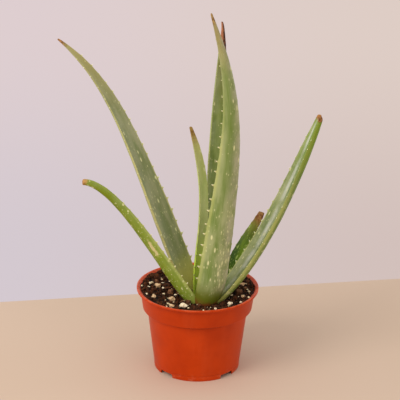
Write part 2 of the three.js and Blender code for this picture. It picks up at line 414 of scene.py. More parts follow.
class Effects:
    """The effects that several finishes share: lying flecks, fine grain and settled dust."""

    def __init__(self) -> None:
        """Builds the groups."""
        self.flecks = self._flecks()
        self.grain = self._grain()
        self.dust = self._dust()

    @staticmethod
    def _flecks() -> bpy.types.NodeTree:
        """Builds lens-shaped flecks that lie along a surface's own length.

        Returns:
            The group. In: Vector in metres across and along, Per Metre, Stretch, Radius, Density from 0 to 1
            and Seed. Out: Mask, the flecks themselves, and Soft, with the glow round them.
        """
        shared = SharedGroup(
            "lying_flecks",
            {
                "Vector": ("Vector", 0.0),
                "Per Metre": ("Float", 200.0),
                "Stretch": ("Float", 0.35),
                "Radius": ("Float", 0.2),
                "Density": ("Float", 0.5),
                "Seed": ("Float", 0.0),
            },
            ("Mask", "Soft"),
        )
        work, given = shared.wiring, shared.inside
        spot = work.split(given["Vector"])
        across = work.times(spot[0], given["Per Metre"])
        along = work.times(work.times(spot[1], given["Per Metre"]), given["Stretch"])
        joined = work.node("ShaderNodeCombineXYZ")
        work.feed(joined.inputs[0], work.math("ADD", across, given["Seed"]))
        work.feed(joined.inputs[1], work.math("ADD", along, given["Seed"]))
        cells = work.node("ShaderNodeTexVoronoi", voronoi_dimensions="2D", feature="F1")
        work.feed(cells.inputs["Vector"], joined.outputs[0])
        work.feed(cells.inputs["Scale"], 1.0)
        work.feed(cells.inputs["Randomness"], 0.9)
        draw = work.node("ShaderNodeSeparateColor")
        work.feed(draw.inputs[0], cells.outputs["Color"])
        kept = work.math("LESS_THAN", draw.outputs[0], given["Density"])
        size = work.times(given["Radius"], work.math("ADD", draw.outputs[1], 0.5))
        near = work.math("DIVIDE", cells.outputs["Distance"], size)
        work.feed(shared.outside["Mask"], work.times(work.band(near, 1.0, 0.55), kept))
        work.feed(shared.outside["Soft"], work.times(work.band(near, 1.9, 0.4), kept))
        return shared.tree

    @staticmethod
    def _grain() -> bpy.types.NodeTree:
        """Builds a fine grain for bump and small changes of tone.

        Returns:
            The group. In: Vector and Per Metre. Out: Value.
        """
        inputs = {"Vector": ("Vector", 0.0), "Per Metre": ("Float", 900.0)}
        shared = SharedGroup("fine_grain", inputs, ("Value",))
        work, given = shared.wiring, shared.inside
        work.feed(shared.outside["Value"], work.noise(given["Vector"], given["Per Metre"], 3.0, 0.5))
        return shared.tree

    @staticmethod
    def _dust() -> bpy.types.NodeTree:
        """Builds dust and splashes that settle where a surface faces up.

        Returns:
            The group. In: Vector, Per Metre and Amount. Out: Mask.
        """
        shared = SharedGroup(
            "settled_dust",
            {"Vector": ("Vector", 0.0), "Per Metre": ("Float", 120.0), "Amount": ("Float", 0.5)},
            ("Mask",),
        )
        work, given = shared.wiring, shared.inside
        normal = work.node("ShaderNodeNewGeometry").outputs["Normal"]
        upward = work.band(work.split(normal)[2], 0.1, 0.9)
        patches = work.noise(given["Vector"], given["Per Metre"], 5.0, 0.5)
        settled = work.times(upward, work.band(patches, 0.42, 0.7))
        work.feed(shared.outside["Mask"], work.times(settled, given["Amount"]))
        return shared.tree


# ------------------------------------------------------------------------------------------
# Finishes


class Paint:
    """A material being made: its node tree, its shader and its coordinates."""

    def __init__(self, name: str) -> None:
        """Makes the material with a bare Principled shader.

        Args:
            name: The material's name.
        """
        self.material = bpy.data.materials.new(name)
        self.material.use_nodes = True
        tree = self.material.node_tree
        tree.nodes.clear()
        self.wiring = Wiring(tree)
        self.shader = self.wiring.node("ShaderNodeBsdfPrincipled")
        output = self.wiring.node("ShaderNodeOutputMaterial")
        tree.links.new(self.shader.outputs[0], output.inputs[0])
        self.place = self.wiring.node("ShaderNodeTexCoord").outputs["Object"]

    def uv(self, name: str) -> Socket:
        """Reads one of the piece's own UV maps."""
        return self.wiring.node("ShaderNodeUVMap", uv_map=name).outputs[0]

    def set(self, **values: object) -> None:
        """Sets the shader's sockets by name, with _ for a space."""
        for name, value in values.items():
            self.wiring.feed(self.shader.inputs[name.replace("_", " ")], value)

    def bump(self, height: Socket, distance: float, strength: float = 1.0) -> None:
        """Raises the surface by a pattern.

        Args:
            height: The pattern, from 0 to 1.
            distance: How high 1 stands, in metres.
            strength: How much of it shows.
        """
        made = self.wiring.node("ShaderNodeBump")
        made.inputs["Distance"].default_value = distance
        made.inputs["Strength"].default_value = strength
        self.wiring.feed(made.inputs["Height"], height)
        self.wiring.feed(self.shader.inputs["Normal"], made.outputs["Normal"])


@dataclass(frozen=True)
class MouldedPlastic:
    """The pot's thin orange-red plastic: satin, faintly mottled, chalky at the foot, with a painted highlight
    along the lip and painted shade in the step under the band.
    """

    name: str = "terracotta_plastic"
    body: Colour = srgb(192, 58, 0)
    deep: Colour = srgb(176, 50, 0)
    # Painted shade for the dark line under the band.
    crease_shade: Colour = srgb(84, 18, 2)
    # A pale tone for the faint flow streaks, which also paints the highlight on the lip.
    pale_flow_and_highlight: Colour = srgb(216, 92, 52)
    chalk: Colour = srgb(206, 140, 108)
    foot: float = 0.0
    lip: float = 0.0735
    ledge: float = 0.0536
    # How strong the painted highlight on the lip is.
    lip_highlight: float = 0.55
    # How strong the painted shade under the band is.
    crease_shade_amount: float = 0.95

    def build(self, effects: Effects) -> bpy.types.Material:
        """Builds the material.

        Args:
            effects: The shared groups.

        Returns:
            The material.
        """
        paint = Paint(self.name)
        work = paint.wiring
        cloudy = work.noise(paint.place, 38.0, 4.0)
        flow = work.noise(work.stretch(paint.place, (70.0, 70.0, 9.0)), 1.0, 3.0)
        colour = work.blend(work.band(cloudy, 0.3, 0.72), self.deep, self.body)
        colour = work.blend(work.times(work.band(flow, 0.5, 0.8), 0.1), colour, self.pale_flow_and_highlight)
        # The top of the lip gets a painted highlight, in patches.
        colour = self._soil_and_crease_shade(paint, effects, work.blend(self._lip_highlight(paint), colour, self.pale_flow_and_highlight))
        scuffs = work.noise(work.stretch(paint.place, (260.0, 260.0, 1500.0)), 1.0, 2.0)
        rough = work.scaled(work.band(cloudy, 0.3, 0.75), 0.1, 0.36)
        rough = work.scaled(work.band(scuffs, 0.55, 0.75), 0.07, rough)
        paint.set(Base_Color=colour, Roughness=rough, IOR=1.49, Specular_IOR_Level=0.16)
        grain = work.group(effects.grain, Vector=paint.place, Per_Metre=1500.0)
        paint.bump(work.scaled(grain.outputs["Value"], 0.45, work.times(flow, 0.55)), 0.00012, 0.7)
        return paint.material

    def _lip_highlight(self, paint: Paint) -> Socket:
        """Paints a highlight along the top of the lip, broken into patches.

        Args:
            paint: The material being made.

        Returns:
            How much painted highlight there is.
        """
        work = paint.wiring
        near_lip = work.band(work.split(paint.place)[2], self.lip - 0.0016, self.lip - 0.0002)
        patchy = work.band(work.noise(paint.place, 160.0, 4.0), 0.38, 0.66)
        return work.times(work.times(near_lip, patchy), self.lip_highlight)

    def _soil_and_crease_shade(self, paint: Paint, effects: Effects, colour: Socket) -> Socket:
        """Lays chalky splashes at the foot and dust, and paints shade as a dark line in the step right under
        the band.

        Args:
            paint: The material being made.
            effects: The shared groups.
            colour: The colour so far.

        Returns:
            The new colour.
        """
        work = paint.wiring
        height = work.split(paint.place)[2]
        near_foot = work.band(height, self.foot + 0.009, self.foot)
        splash = work.band(work.noise(paint.place, 210.0, 5.0, 0.65), 0.5, 0.7)
        dirt = work.times(work.times(near_foot, splash), 0.3)
        dust = work.group(effects.dust, Vector=paint.place, Per_Metre=260.0, Amount=0.3)
        colour = work.blend(work.math("ADD", dirt, dust.outputs["Mask"]), colour, self.chalk)
        # Painted shade: a thin dark line just under the band, on the outside only.
        over = work.band(height, self.ledge - 0.0014, self.ledge - 0.0002)
        under = work.band(height, self.ledge + 0.0012, self.ledge + 0.0006)
        crease_shade_mask = work.times(work.times(over, self._outside(paint)), under)
        return work.blend(work.times(crease_shade_mask, self.crease_shade_amount), colour, self.crease_shade)

    def _outside(self, paint: Paint) -> Socket:
        """Tells the outside of the pot from its inside.

        Args:
            paint: The material being made.

        Returns:
            1 where the surface faces away from the pot's axis, 0 where it faces it.
        """
        work = paint.wiring
        outward = work.node("ShaderNodeVectorMath", operation="DOT_PRODUCT")
        off_axis = work.node("ShaderNodeVectorMath", operation="SUBTRACT")
        work.feed(off_axis.inputs[0], paint.place)
        off_axis.inputs[1].default_value = Frame.axis
        work.feed(outward.inputs[0], off_axis.outputs[0])
        work.feed(outward.inputs[1], work.node("ShaderNodeNewGeometry").outputs["Normal"])
        return work.band(outward.outputs["Value"], 0.0, 0.01)


class SkinPlace:
    """Where a point of a leaf lies, as outputs inside one material.

    It reads two UV maps of the leaf: "lay" holds the place across, from 0 to 1, and the share of the length;
    "skin" holds metres across and along, with UNDER_SHIFT added across on the round lower side.
    """

    def __init__(self, paint: Paint, seed: float) -> None:
        """Reads the maps.

        Args:
            paint: The material being made.
            seed: What makes this leaf's patterns differ from the next one's.
        """
        work = self.work = paint.wiring
        skin, lay = paint.uv("skin"), work.split(paint.uv("lay"))
        self.share = lay[1]
        self.side = work.scaled(lay[0], 2.0, -1.0)
        self.below = work.math("GREATER_THAN", work.split(skin)[0], UNDER_SHIFT / 2)
        self.spot = work.stretch(skin, (1.0, 1.0, 1.0), (seed, seed * 0.37, 0.0))
        self.patches = work.noise(work.stretch(self.spot, (150.0, 34.0, 1.0)), 1.0, 4.0)
        self.fibres = work.noise(work.stretch(self.spot, (1500.0, 26.0, 1.0)), 1.0, 2.0)

    def from_line(self, across: float) -> Socket:
        """Gives how far a point lies from a lengthwise line, in half widths."""
        return self.work.math("ABSOLUTE", self.work.math("SUBTRACT", self.side, across))


@dataclass(frozen=True)
class AloeSkin:
    """A leaf's skin: waxy green with pale lying flecks, a pale margin, a ruddy root and a dried tip, with
    painted sheen in its waxy coat and along its channel, and partly painted shade in its darker middle.
    """

    name: str
    light: Colour = srgb(136, 154, 90)
    deep: Colour = srgb(88, 116, 44)
    under: Colour = srgb(142, 160, 66)
    # A pale waxy coat, partly painted sheen.
    bloom_and_sheen: Colour = srgb(180, 186, 152)
    root: Colour = srgb(158, 156, 76)
    rim: Colour = srgb(112, 66, 30)
    tip: Colour = srgb(160, 122, 66)
    tip_dark: Colour = srgb(112, 78, 42)
    upper: Colour = srgb(110, 146, 46)
    fleck: Colour = srgb(216, 212, 158)
    margin: Colour = srgb(190, 190, 112)
    margin_amount: float = 0.5
    tip_start: float = 0.975
    tip_soft: float = 0.014
    tip_split: float = 0.0
    upper_amount: float = 0.0
    upper_from: float = 0.6
    root_end: float = 0.08
    rim_end: float = 0.03
    fleck_from: float = 0.0
    fleck_to: float = 0.8
    fleck_amount: float = 0.5
    fleck_size: float = 1.0
    fleck_long: float = 0.34
    fleck_side: float = 0.0
    # How much waxy coat and painted sheen there is, and towards which margin it thickens.
    bloom_and_sheen_amount: float = 0.35
    bloom_and_sheen_side: float = -1.0
    # A painted sheen along the upper side: where it lies across, how strong it is and its colour.
    painted_sheen_at: float = 0.0
    painted_sheen_amount: float = 0.0
    painted_sheen: Colour = srgb(206, 212, 204)
    # A darker band along the middle, partly painted shade; its colour also tones the lower side.
    band_amount: float = 0.0
    band_at: float = -0.05
    band_from: float = 0.0
    band: Colour = srgb(92, 116, 44)
    scar: Pair | None = None
    scar_colour: Colour = srgb(206, 190, 138)
    scar_narrow: float = 3.2
    scar_short: float = 11.0
    seed: float = 0.0

    def build(self, effects: Effects) -> bpy.types.Material:
        """Builds the material.

        Args:
            effects: The shared groups.

        Returns:
            The material.
        """
        paint = Paint(self.name)
        work, at = paint.wiring, SkinPlace(paint, self.seed)
        wax_and_sheen = self._wax_and_sheen(at)
        # The waxy coat is partly real and partly painted sheen.
        colour = work.blend(wax_and_sheen, self._ground(at), self.bloom_and_sheen)
        # Painted sheen: a pale highlight along the upper side.
        colour = work.blend(self._painted_sheen(at), colour, self.painted_sheen)
        colour, dots = self._flecks(at, effects, colour)
        colour = self._ends(at, work.blend(self._edge(at), colour, self.margin))
        if self.scar is not None:
            colour = work.blend(self._scar(at, self.scar), colour, self.scar_colour)
        dry = work.band(at.share, self.tip_start - 0.01, self.tip_start + 0.02)
        rough = work.scaled(work.band(at.patches, 0.3, 0.7), 0.1, 0.4)
        rough = work.scaled(dry, 0.3, work.scaled(wax_and_sheen, 0.25, rough))
        paint.set(Base_Color=colour, Roughness=rough, IOR=1.42, Specular_IOR_Level=0.26)
        pores = work.group(effects.grain, Vector=paint.place, Per_Metre=1100.0)
        relief = work.scaled(at.fibres, 0.5, work.times(pores.outputs["Value"], 0.3))
        paint.bump(work.scaled(dots, 0.3, relief), 0.00025, 0.8)
        return paint.material

    def _ground(self, at: SkinPlace) -> Socket:
        """Lays the green of both sides, the darker middle band, which is partly painted shade, the fibres and
        the older tone towards the tip.

        Args:
            at: The place on the leaf.

        Returns:
            The colour.
        """
        work = at.work
        upper = work.blend(work.band(at.patches, 0.34, 0.68), self.deep, self.light)
        lower = work.blend(work.band(at.patches, 0.3, 0.7), self.band, self.under)
        colour = work.blend(work.times(at.below, 0.85), upper, lower)
        # Darker middle band, partly painted shade.
        middle = work.times(work.band(at.from_line(self.band_at), 0.7, 0.15), self.band_amount)
        middle = work.times(middle, work.band(at.share, self.band_from - 0.12, self.band_from + 0.12))
        colour = work.blend(work.times(middle, work.band(at.share, 0.92, 0.75)), colour, self.band)
        colour = work.blend(work.times(work.band(at.fibres, 0.42, 0.68), 0.28), colour, self.light)
        older = work.times(work.band(at.share, self.upper_from, 0.96), self.upper_amount)
        return work.blend(older, colour, self.upper)

    def _wax_and_sheen(self, at: SkinPlace) -> Socket:
        """Lays the pale waxy coat, partly real and partly painted sheen, which lies thicker towards one
        margin and so lightens that side.

        Args:
            at: The place on the leaf.

        Returns:
            How much of it there is.
        """
        work = at.work
        thick = work.band(work.times(at.side, self.bloom_and_sheen_side), -0.6, 1.0)
        wax_and_sheen = work.times(thick, work.band(work.noise(at.spot, 62.0, 5.0, 0.6), 0.3, 0.7))
        return work.times(wax_and_sheen, self.bloom_and_sheen_amount)

    def _painted_sheen(self, at: SkinPlace) -> Socket:
        """Paints a broken pale sheen, a painted highlight, along the upper side.

        Args:
            at: The place on the leaf.

        Returns:
            How much of it there is.
        """
        work = at.work
        near = work.band(at.from_line(self.painted_sheen_at), 0.5, 0.08)
        painted_sheen = work.times(near, work.math("SUBTRACT", 1.0, at.below))
        painted_sheen = work.times(painted_sheen, work.band(work.noise(at.spot, 45.0, 3.0), 0.3, 0.6))
        return work.times(painted_sheen, self.painted_sheen_amount)

    def _edge(self, at: SkinPlace) -> Socket:
        """Lays the pale margin, which fades towards the tip.

        Args:
            at: The place on the leaf.

        Returns:
            How much of it there is.
        """
        work = at.work
        most, least = self.margin_amount * 0.7, self.margin_amount * 0.3
        faded = work.scaled(work.band(at.share, 0.85, 0.45), most, least)
        return work.times(work.band(work.math("ABSOLUTE", at.side), 0.86, 0.99), faded)

    def _flecks(self, at: SkinPlace, effects: Effects, colour: Socket) -> tuple[Socket, Socket]:
        """Lays pale flecks of two sizes over the skin.

        Args:
            at: The place on the leaf.
            effects: The shared groups.
            colour: The colour so far.

        Returns:
            The new colour and the flecks' mask.
        """
        work = at.work
        crowd = work.band(at.share, self.fleck_to, self.fleck_from)
        crowd = work.scaled(crowd, self.fleck_amount, self.fleck_amount * 0.3)
        if self.fleck_side:
            favoured = work.band(work.times(at.side, self.fleck_side), -0.45, 0.1)
            crowd = work.times(crowd, work.scaled(favoured, 0.8, 0.2))
        large, small = (
            work.group(
                effects.flecks, Vector=at.spot, Per_Metre=rows / self.fleck_size,
                Stretch=self.fleck_long * longer, Radius=radius, Density=crowd, Seed=seed,
            )
            for rows, longer, radius, seed in ((310.0, 1.0, 0.19, 3.0), (560.0, 1.3, 0.2, 11.0))
        )
        colour = work.blend(work.times(large.outputs["Soft"], 0.35), colour, self.light)
        both = work.math("MAXIMUM", large.outputs["Mask"], work.times(small.outputs["Mask"], 0.55))
        return work.blend(work.times(both, 0.85), colour, self.fleck), both

    def _ends(self, at: SkinPlace, colour: Socket) -> Socket:
        """Colours the root, its ruddy rim and the dried tip.

        Args:
            at: The place on the leaf.
            colour: The colour so far.

        Returns:
            The new colour.
        """
        work = at.work
        uneven = work.math("ADD", at.share, work.scaled(work.noise(at.spot, 130.0, 4.0), 0.05, -0.025))
        colour = work.blend(work.band(uneven, self.root_end * 1.5, self.root_end * 0.5), colour, self.root)
        colour = work.blend(work.band(uneven, self.rim_end * 1.3, self.rim_end * 0.6), colour, self.rim)
        spots = work.band(work.noise(at.spot, 420.0, 4.0), 0.4, 0.62)
        if self.tip_split > 0:
            one_side = work.times(work.band(at.side, 0.3, -0.3), self.tip_split)
            spots = work.scaled(spots, 1 - self.tip_split, one_side)
        dried = work.blend(spots, self.tip_dark, self.tip)
        at_tip = work.band(uneven, self.tip_start - self.tip_soft, self.tip_start + self.tip_soft)
        return work.blend(at_tip, colour, dried)

    def _scar(self, at: SkinPlace, middle: Pair) -> Socket:
        """Lays a pale corky scar.

        Args:
            at: The place on the leaf.
            middle: The scar's middle, across and along.

        Returns:
            How much of it there is.
        """
        work = at.work
        off = work.times(work.math("SUBTRACT", at.side, middle[0]), self.scar_narrow)
        far = work.times(work.math("SUBTRACT", at.share, middle[1]), self.scar_short)
        away = work.math("SQRT", work.math("ADD", work.math("POWER", off, 2.0), work.math("POWER", far, 2.0)))
        away = work.scaled(work.noise(at.spot, 300.0, 4.0), 1.2, away)
        return work.times(work.band(away, 1.35, 0.95), 0.9)


@dataclass(frozen=True)
class ToothHorn:
    """A tooth's pale horn, whiter towards its point."""

    name: str = "tooth_horn"
    root: Colour = srgb(196, 194, 128)
    point: Colour = srgb(240, 230, 194)

    def build(self, effects: Effects) -> bpy.types.Material:
        """Builds the material.

        Args:
            effects: The shared groups.

        Returns:
            The material.
        """
        paint = Paint(self.name)
        work = paint.wiring
        rise = work.split(paint.uv("lay"))[1]
        tone = work.noise(paint.place, 900.0, 3.0)
        pale = work.math("ADD", rise, work.scaled(tone, 0.4, -0.2))
        colour = work.blend(work.band(pale, 0.05, 0.7), self.root, self.point)
        grain = work.group(effects.grain, Vector=paint.place, Per_Metre=2600.0)
        paint.set(Base_Color=colour, Roughness=work.scaled(tone, 0.2, 0.34))
        paint.bump(grain.outputs["Value"], 0.00008, 0.6)
        return paint.material


class Texture(Enum):
    """The two ways a grain's surface is broken up."""

    PITTED = "pitted"
    FIBROUS = "fibrous"


@dataclass(frozen=True)
class Mineral:
    """The finish of a grain, a crumb or a splinter in the potting mix."""

    name: str
    light: Colour
    dark: Colour
    stain: Colour
    texture: Texture = Texture.PITTED
    scale: float = 900.0
    stained: float = 0.35
    roughness: float = 0.85
    relief: float = 0.0004

    def build(self, effects: Effects) -> bpy.types.Material:
        """Builds the material.

        Args:
            effects: The shared groups.

        Returns:
            The material.
        """
        paint = Paint(self.name)
        work = paint.wiring
        place = paint.place
        if self.texture is Texture.FIBROUS:
            place = work.stretch(place, (1.0, 0.25, 0.6))
        tone = work.noise(place, self.scale * 0.35, 4.0, 0.6)
        grain = work.group(effects.grain, Vector=place, Per_Metre=self.scale)
        colour = work.blend(work.band(tone, 0.35, 0.65), self.dark, self.light)
        spots = work.band(work.noise(paint.place, 240.0, 3.0), 0.48, 0.68)
        colour = work.blend(work.times(spots, self.stained), colour, self.stain)
        pits = work.node("ShaderNodeTexVoronoi", feature="F1")
        work.feed(pits.inputs["Vector"], place)
        work.feed(pits.inputs["Scale"], self.scale)
        hollow = work.band(pits.outputs["Distance"], 0.0, 0.5)
        colour = work.blend(work.times(work.band(hollow, 0.5, 0.0), 0.35), colour, self.stain)
        rough = work.scaled(grain.outputs["Value"], 0.15, self.roughness - 0.08)
        paint.set(Base_Color=colour, Roughness=rough, Specular_IOR_Level=0.15)
        height = work.scaled(grain.outputs["Value"], 0.5, work.times(hollow, 0.5))
        paint.bump(height, self.relief, 0.8)
        return paint.material


@dataclass(frozen=True)
class Backdrop:
    """The plain matt surface of the floor."""

    name: str
    colour: Colour
    shade: Colour

    def build(self, effects: Effects) -> bpy.types.Material:
        """Builds the material.

        Args:
            effects: The shared groups.

        Returns:
            The material.
        """
        paint = Paint(self.name)
        work = paint.wiring
        tone = work.noise(paint.place, 2.2, 2.0)
        grain = work.group(effects.grain, Vector=paint.place, Per_Metre=700.0)
        colour = work.blend(work.band(tone, 0.3, 0.7), self.shade, self.colour)
        paint.set(Base_Color=colour, Roughness=work.scaled(grain.outputs["Value"], 0.1, 0.75))
        paint.bump(grain.outputs["Value"], 0.00006, 0.4)
        return paint.material


# ------------------------------------------------------------------------------------------
# The pot


class Frame:
    """Places that all the sub-assemblies share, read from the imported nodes."""

    pot_low, pot_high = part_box("pot")
    axis = Vector(((pot_low.x + pot_high.x) / 2, (pot_low.y + pot_high.y) / 2, 0.0))
    plant = axis + Vector((9 * MM, -8 * MM, 0.0))

    @staticmethod
    def beside(shift: Pair) -> Vector:
        """Gives the place on the floor that lies a shift, in millimetres, from the plant's middle."""
        return Frame.plant + Vector((shift[0] * MM, shift[1] * MM, 0.0))


def present(piece: Piece, slot: str, *nodes: str) -> None:
    """Hides the CAD nodes that a finished piece stands for and puts the piece on the body.

    Args:
        piece: The piece, with its place in its mesh.
        slot: The record's material slot it is finished in; not used.
        *nodes: The CAD nodes that it stands for.
    """
    Bench.clear()
    if nodes:
        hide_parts(*nodes)
    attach(piece, BODY)
    LOG.info("%s: %d faces", piece.name, len(piece.data.polygons))


class Turning:
    """Shapes that are turned about the pot's axis."""

    @staticmethod
    def spin(name: str, profile: Sequence[Pair], steps: int, closed: bool) -> Piece:
        """Extrudes a profile point by point and spins it all the way round.

        Args:
            name: The object's name.
            profile: Radius and height of each point, in metres, in order.
            steps: How many faces go round.
            closed: Whether the profile comes back to its first point.

        Returns:
            The turned object.
        """
        Bench.clear()
        bpy.ops.mesh.primitive_plane_add(size=0.001, location=(0.0, 0.0, 0.0))
        item = bpy.context.object
        item.name = name
        Bench.edit(item)
        Bench.everything()
        bpy.ops.mesh.merge(type="CENTER")
        first = Vector((profile[0][0], 0.0, profile[0][1]))
        Bench.everything()
        bpy.ops.transform.translate(value=first)
        here = first
        rest = [*profile[1:], profile[0]] if closed else profile[1:]
        for radius, height in rest:
            there = Vector((radius, 0.0, height))
            bpy.ops.mesh.extrude_region_move(TRANSFORM_OT_translate={"value": there - here})
            here = there
        Bench.weld(SAME_POINT)
        Bench.everything()
        bpy.ops.mesh.spin(steps=steps, angle=2 * math.pi, center=(0.0, 0.0, 0.0), axis=(0.0, 0.0, 1.0))
        Bench.weld(SAME_POINT)
        Bench.face_out()
        Bench.done()
        return item

    @staticmethod
    def rounded(corners: Sequence[Triple], cuts: int = 4) -> list[Pair]:
        """Rounds a closed profile's corners.

        Args:
            corners: Radius, height and rounding of each corner.
            cuts: How many steps a rounding takes.

        Returns:
            The profile with an arc at each rounded corner.
        """
        profile: list[Pair] = []
        count = len(corners)
        for index, (radius, height, rounding) in enumerate(corners):
            here = Vector((radius, height))
            before = Vector(corners[index - 1][:2])
            after = Vector(corners[(index + 1) % count][:2])
            if rounding <= 0:
                profile.append((here.x, here.y))
                continue
            reach = min(rounding, (before - here).length * 0.45, (after - here).length * 0.45)
            start = here + (before - here).normalized() * reach
            end = here + (after - here).normalized() * reach
            for cut in range(cuts + 1):
                share = cut / cuts
                point = start * (1 - share) ** 2 + here * (2 * share * (1 - share)) + end * share**2
                profile.append((point.x, point.y))
        return profile


@dataclass
class NurseryPot:
    """The thin tapered pot: foot ring with notches, ledge, upright band and lip. Sizes in millimetres."""

    lip_radius: float = 52.5
    lip_thickness: float = 2.2
    lip_edge: float = 1.2
    lip_flare: float = 1.9
    band_top: float = 49.5
    band_foot: float = 47.1
    ledge_height: float = 54.8
    body_top: float = 43.3
    body_height: float = 54.0
    fold_radius: float = 37.4
    fold_height: float = 5.3
    foot_radius: float = 37.0
    wall: float = 1.1
    floor_rise: float = 3.8
    height: float = 73.5
    drain_radius: float = 5.0
    slot_radius: float = 4.0
    slot_inset: float = 8.5
    notch_width: float = 14.0
    notch_height: float = 3.5
    notch_depth: float = 8.0
    notch_round: float = 1.6
    notch_bearings: tuple[float, ...] = (45.0, 135.0, 225.0, 315.0)
    oval: float = 0.2
    ripple: float = 0.08
    steps: int = 160
    finish: MouldedPlastic = field(default_factory=MouldedPlastic)

    def profile(self) -> list[Pair]:
        """Gives the wall's closed section, from the foot up the outside and down the inside.

        Returns:
            Radius and height of each point, in metres.
        """
        under, wall = self.height - self.lip_thickness, self.wall
        fold, edge = (self.fold_radius, self.fold_height), (self.body_top, self.body_height)
        corners = [
            (self.foot_radius, 0.0, 0.35),
            (self.foot_radius + 0.15, 3.0, 0.0),
            (self.fold_radius - 0.5, self.fold_height - 0.9, 0.3),
            (self.fold_radius, self.fold_height - 0.3, 0.25),
            (self.fold_radius, self.fold_height + 0.3, 0.25),
            *((mix(fold[0], edge[0], share), mix(fold[1], edge[1], share), 0.0) for share in (0.33, 0.66)),
            (self.body_top, self.body_height, 0.3),
            (self.band_foot - 0.5, self.ledge_height - 0.3, 0.25),
            (self.band_foot, self.ledge_height, 0.25),
            (mix(self.band_foot, self.band_top, 0.5), mix(self.ledge_height, under, 0.5), 0.0),
            (self.band_top, under, 0.4),
            (self.lip_radius, under, 0.8),
            (self.lip_radius, self.height, 0.75),
            (self.lip_radius - self.lip_edge, self.height, 0.3),
            (self.band_top - wall, self.height - self.lip_flare, 0.5),
            (self.band_foot - wall, self.ledge_height, 0.5),
            (self.body_top - wall, self.body_height, 0.5),
            (self.fold_radius - wall - 0.15, self.floor_rise + wall, 0.9),
            (self.drain_radius, self.floor_rise + wall, 0.3),
            (self.drain_radius, self.floor_rise, 0.3),
            (self.foot_radius - wall, self.floor_rise, 0.4),
            (self.foot_radius - wall, 0.0, 0.3),
        ]
        return [(r * MM, h * MM) for r, h in Turning.rounded(corners)]

    def build(self, effects: Effects) -> Piece:
        """Turns the pot and cuts its notches and drain slots.

        Args:
            effects: The shared groups.

        Returns:
            The pot.
        """
        pot = Turning.spin("pot_shell", self.profile(), self.steps, True)
        for bearing in self.notch_bearings:
            for cutter in (self._notch(bearing), self._slot(bearing)):
                Bench.apply(pot, "BOOLEAN", operation="DIFFERENCE", solver="EXACT", object=cutter)
                Bench.discard(cutter)
        Bench.edit(pot)
        Bench.weld(SAME_POINT / 2.5)
        Bench.done()
        pot.data.transform(Matrix.Translation(Frame.axis))
        self._slack(pot)
        Bench.smooth(pot, 32)
        pot.data.materials.append(self.finish.build(effects))
        return pot

    def _notch(self, bearing: float) -> Piece:
        """Makes the cutter of one notch: a block with its upper corners rounded.

        Args:
            bearing: The notch's bearing in degrees.

        Returns:
            The cutter.
        """
        Bench.clear()
        turn = math.radians(bearing)
        middle = Vector((math.cos(turn), math.sin(turn), 0.0)) * self.foot_radius * MM
        bpy.ops.mesh.primitive_cube_add(size=1.0, location=middle, rotation=(0.0, 0.0, turn))
        cutter = bpy.context.object
        cutter.scale = (self.notch_depth * MM, self.notch_width * MM, 2 * self.notch_height * MM)
        Bench.settle(cutter)
        Bench.edit(cutter)
        bpy.ops.mesh.select_mode(type="EDGE")
        shape = bmesh.from_edit_mesh(cutter.data)
        outward = Vector((math.cos(turn), math.sin(turn), 0.0))
        for edge in shape.edges:
            along = (edge.verts[1].co - edge.verts[0].co).normalized()
            top = min(vertex.co.z for vertex in edge.verts) > 0
            edge.select_set(top and abs(along.dot(outward)) > 0.9)
        bmesh.update_edit_mesh(cutter.data)
        bpy.ops.mesh.bevel(offset=self.notch_round * MM, segments=5)
        return Bench.done()

    def _slot(self, bearing: float) -> Piece:
        """Makes the cutter of one round drain slot.

        Args:
            bearing: The slot's bearing in degrees.

        Returns:
            The cutter.
        """
        Bench.clear()
        turn = math.radians(bearing)
        reach = (self.foot_radius - self.slot_inset) * MM
        middle = (math.cos(turn) * reach, math.sin(turn) * reach, (self.floor_rise + self.wall / 2) * MM)
        bpy.ops.mesh.primitive_cylinder_add(
            vertices=28, radius=self.slot_radius * MM, depth=4 * self.wall * MM, location=middle
        )
        Bench.settle(bpy.context.object)
        return bpy.context.object

    def _slack(self, pot: Piece) -> None:
        """Takes the pot very slightly out of round towards its lip, as thin plastic full of damp mix is.

        Args:
            pot: The pot.
        """
        Bench.edit(pot)
        shape = bmesh.from_edit_mesh(pot.data)
        for vertex in shape.verts:
            flat = vertex.co - Frame.axis
            share = max(0.0, flat.z / (self.height * MM))
            bearing = math.atan2(flat.y, flat.x)
            swell = self.oval * math.sin(2 * bearing + 0.6) + self.ripple * math.sin(5 * bearing)
            outward = Vector((flat.x, flat.y, 0.0))
            if outward.length > 30 * MM:
                vertex.co += outward.normalized() * swell * MM * share
        bmesh.update_edit_mesh(pot.data)
        Bench.done()


# ------------------------------------------------------------------------------------------
# The potting mix and its grains


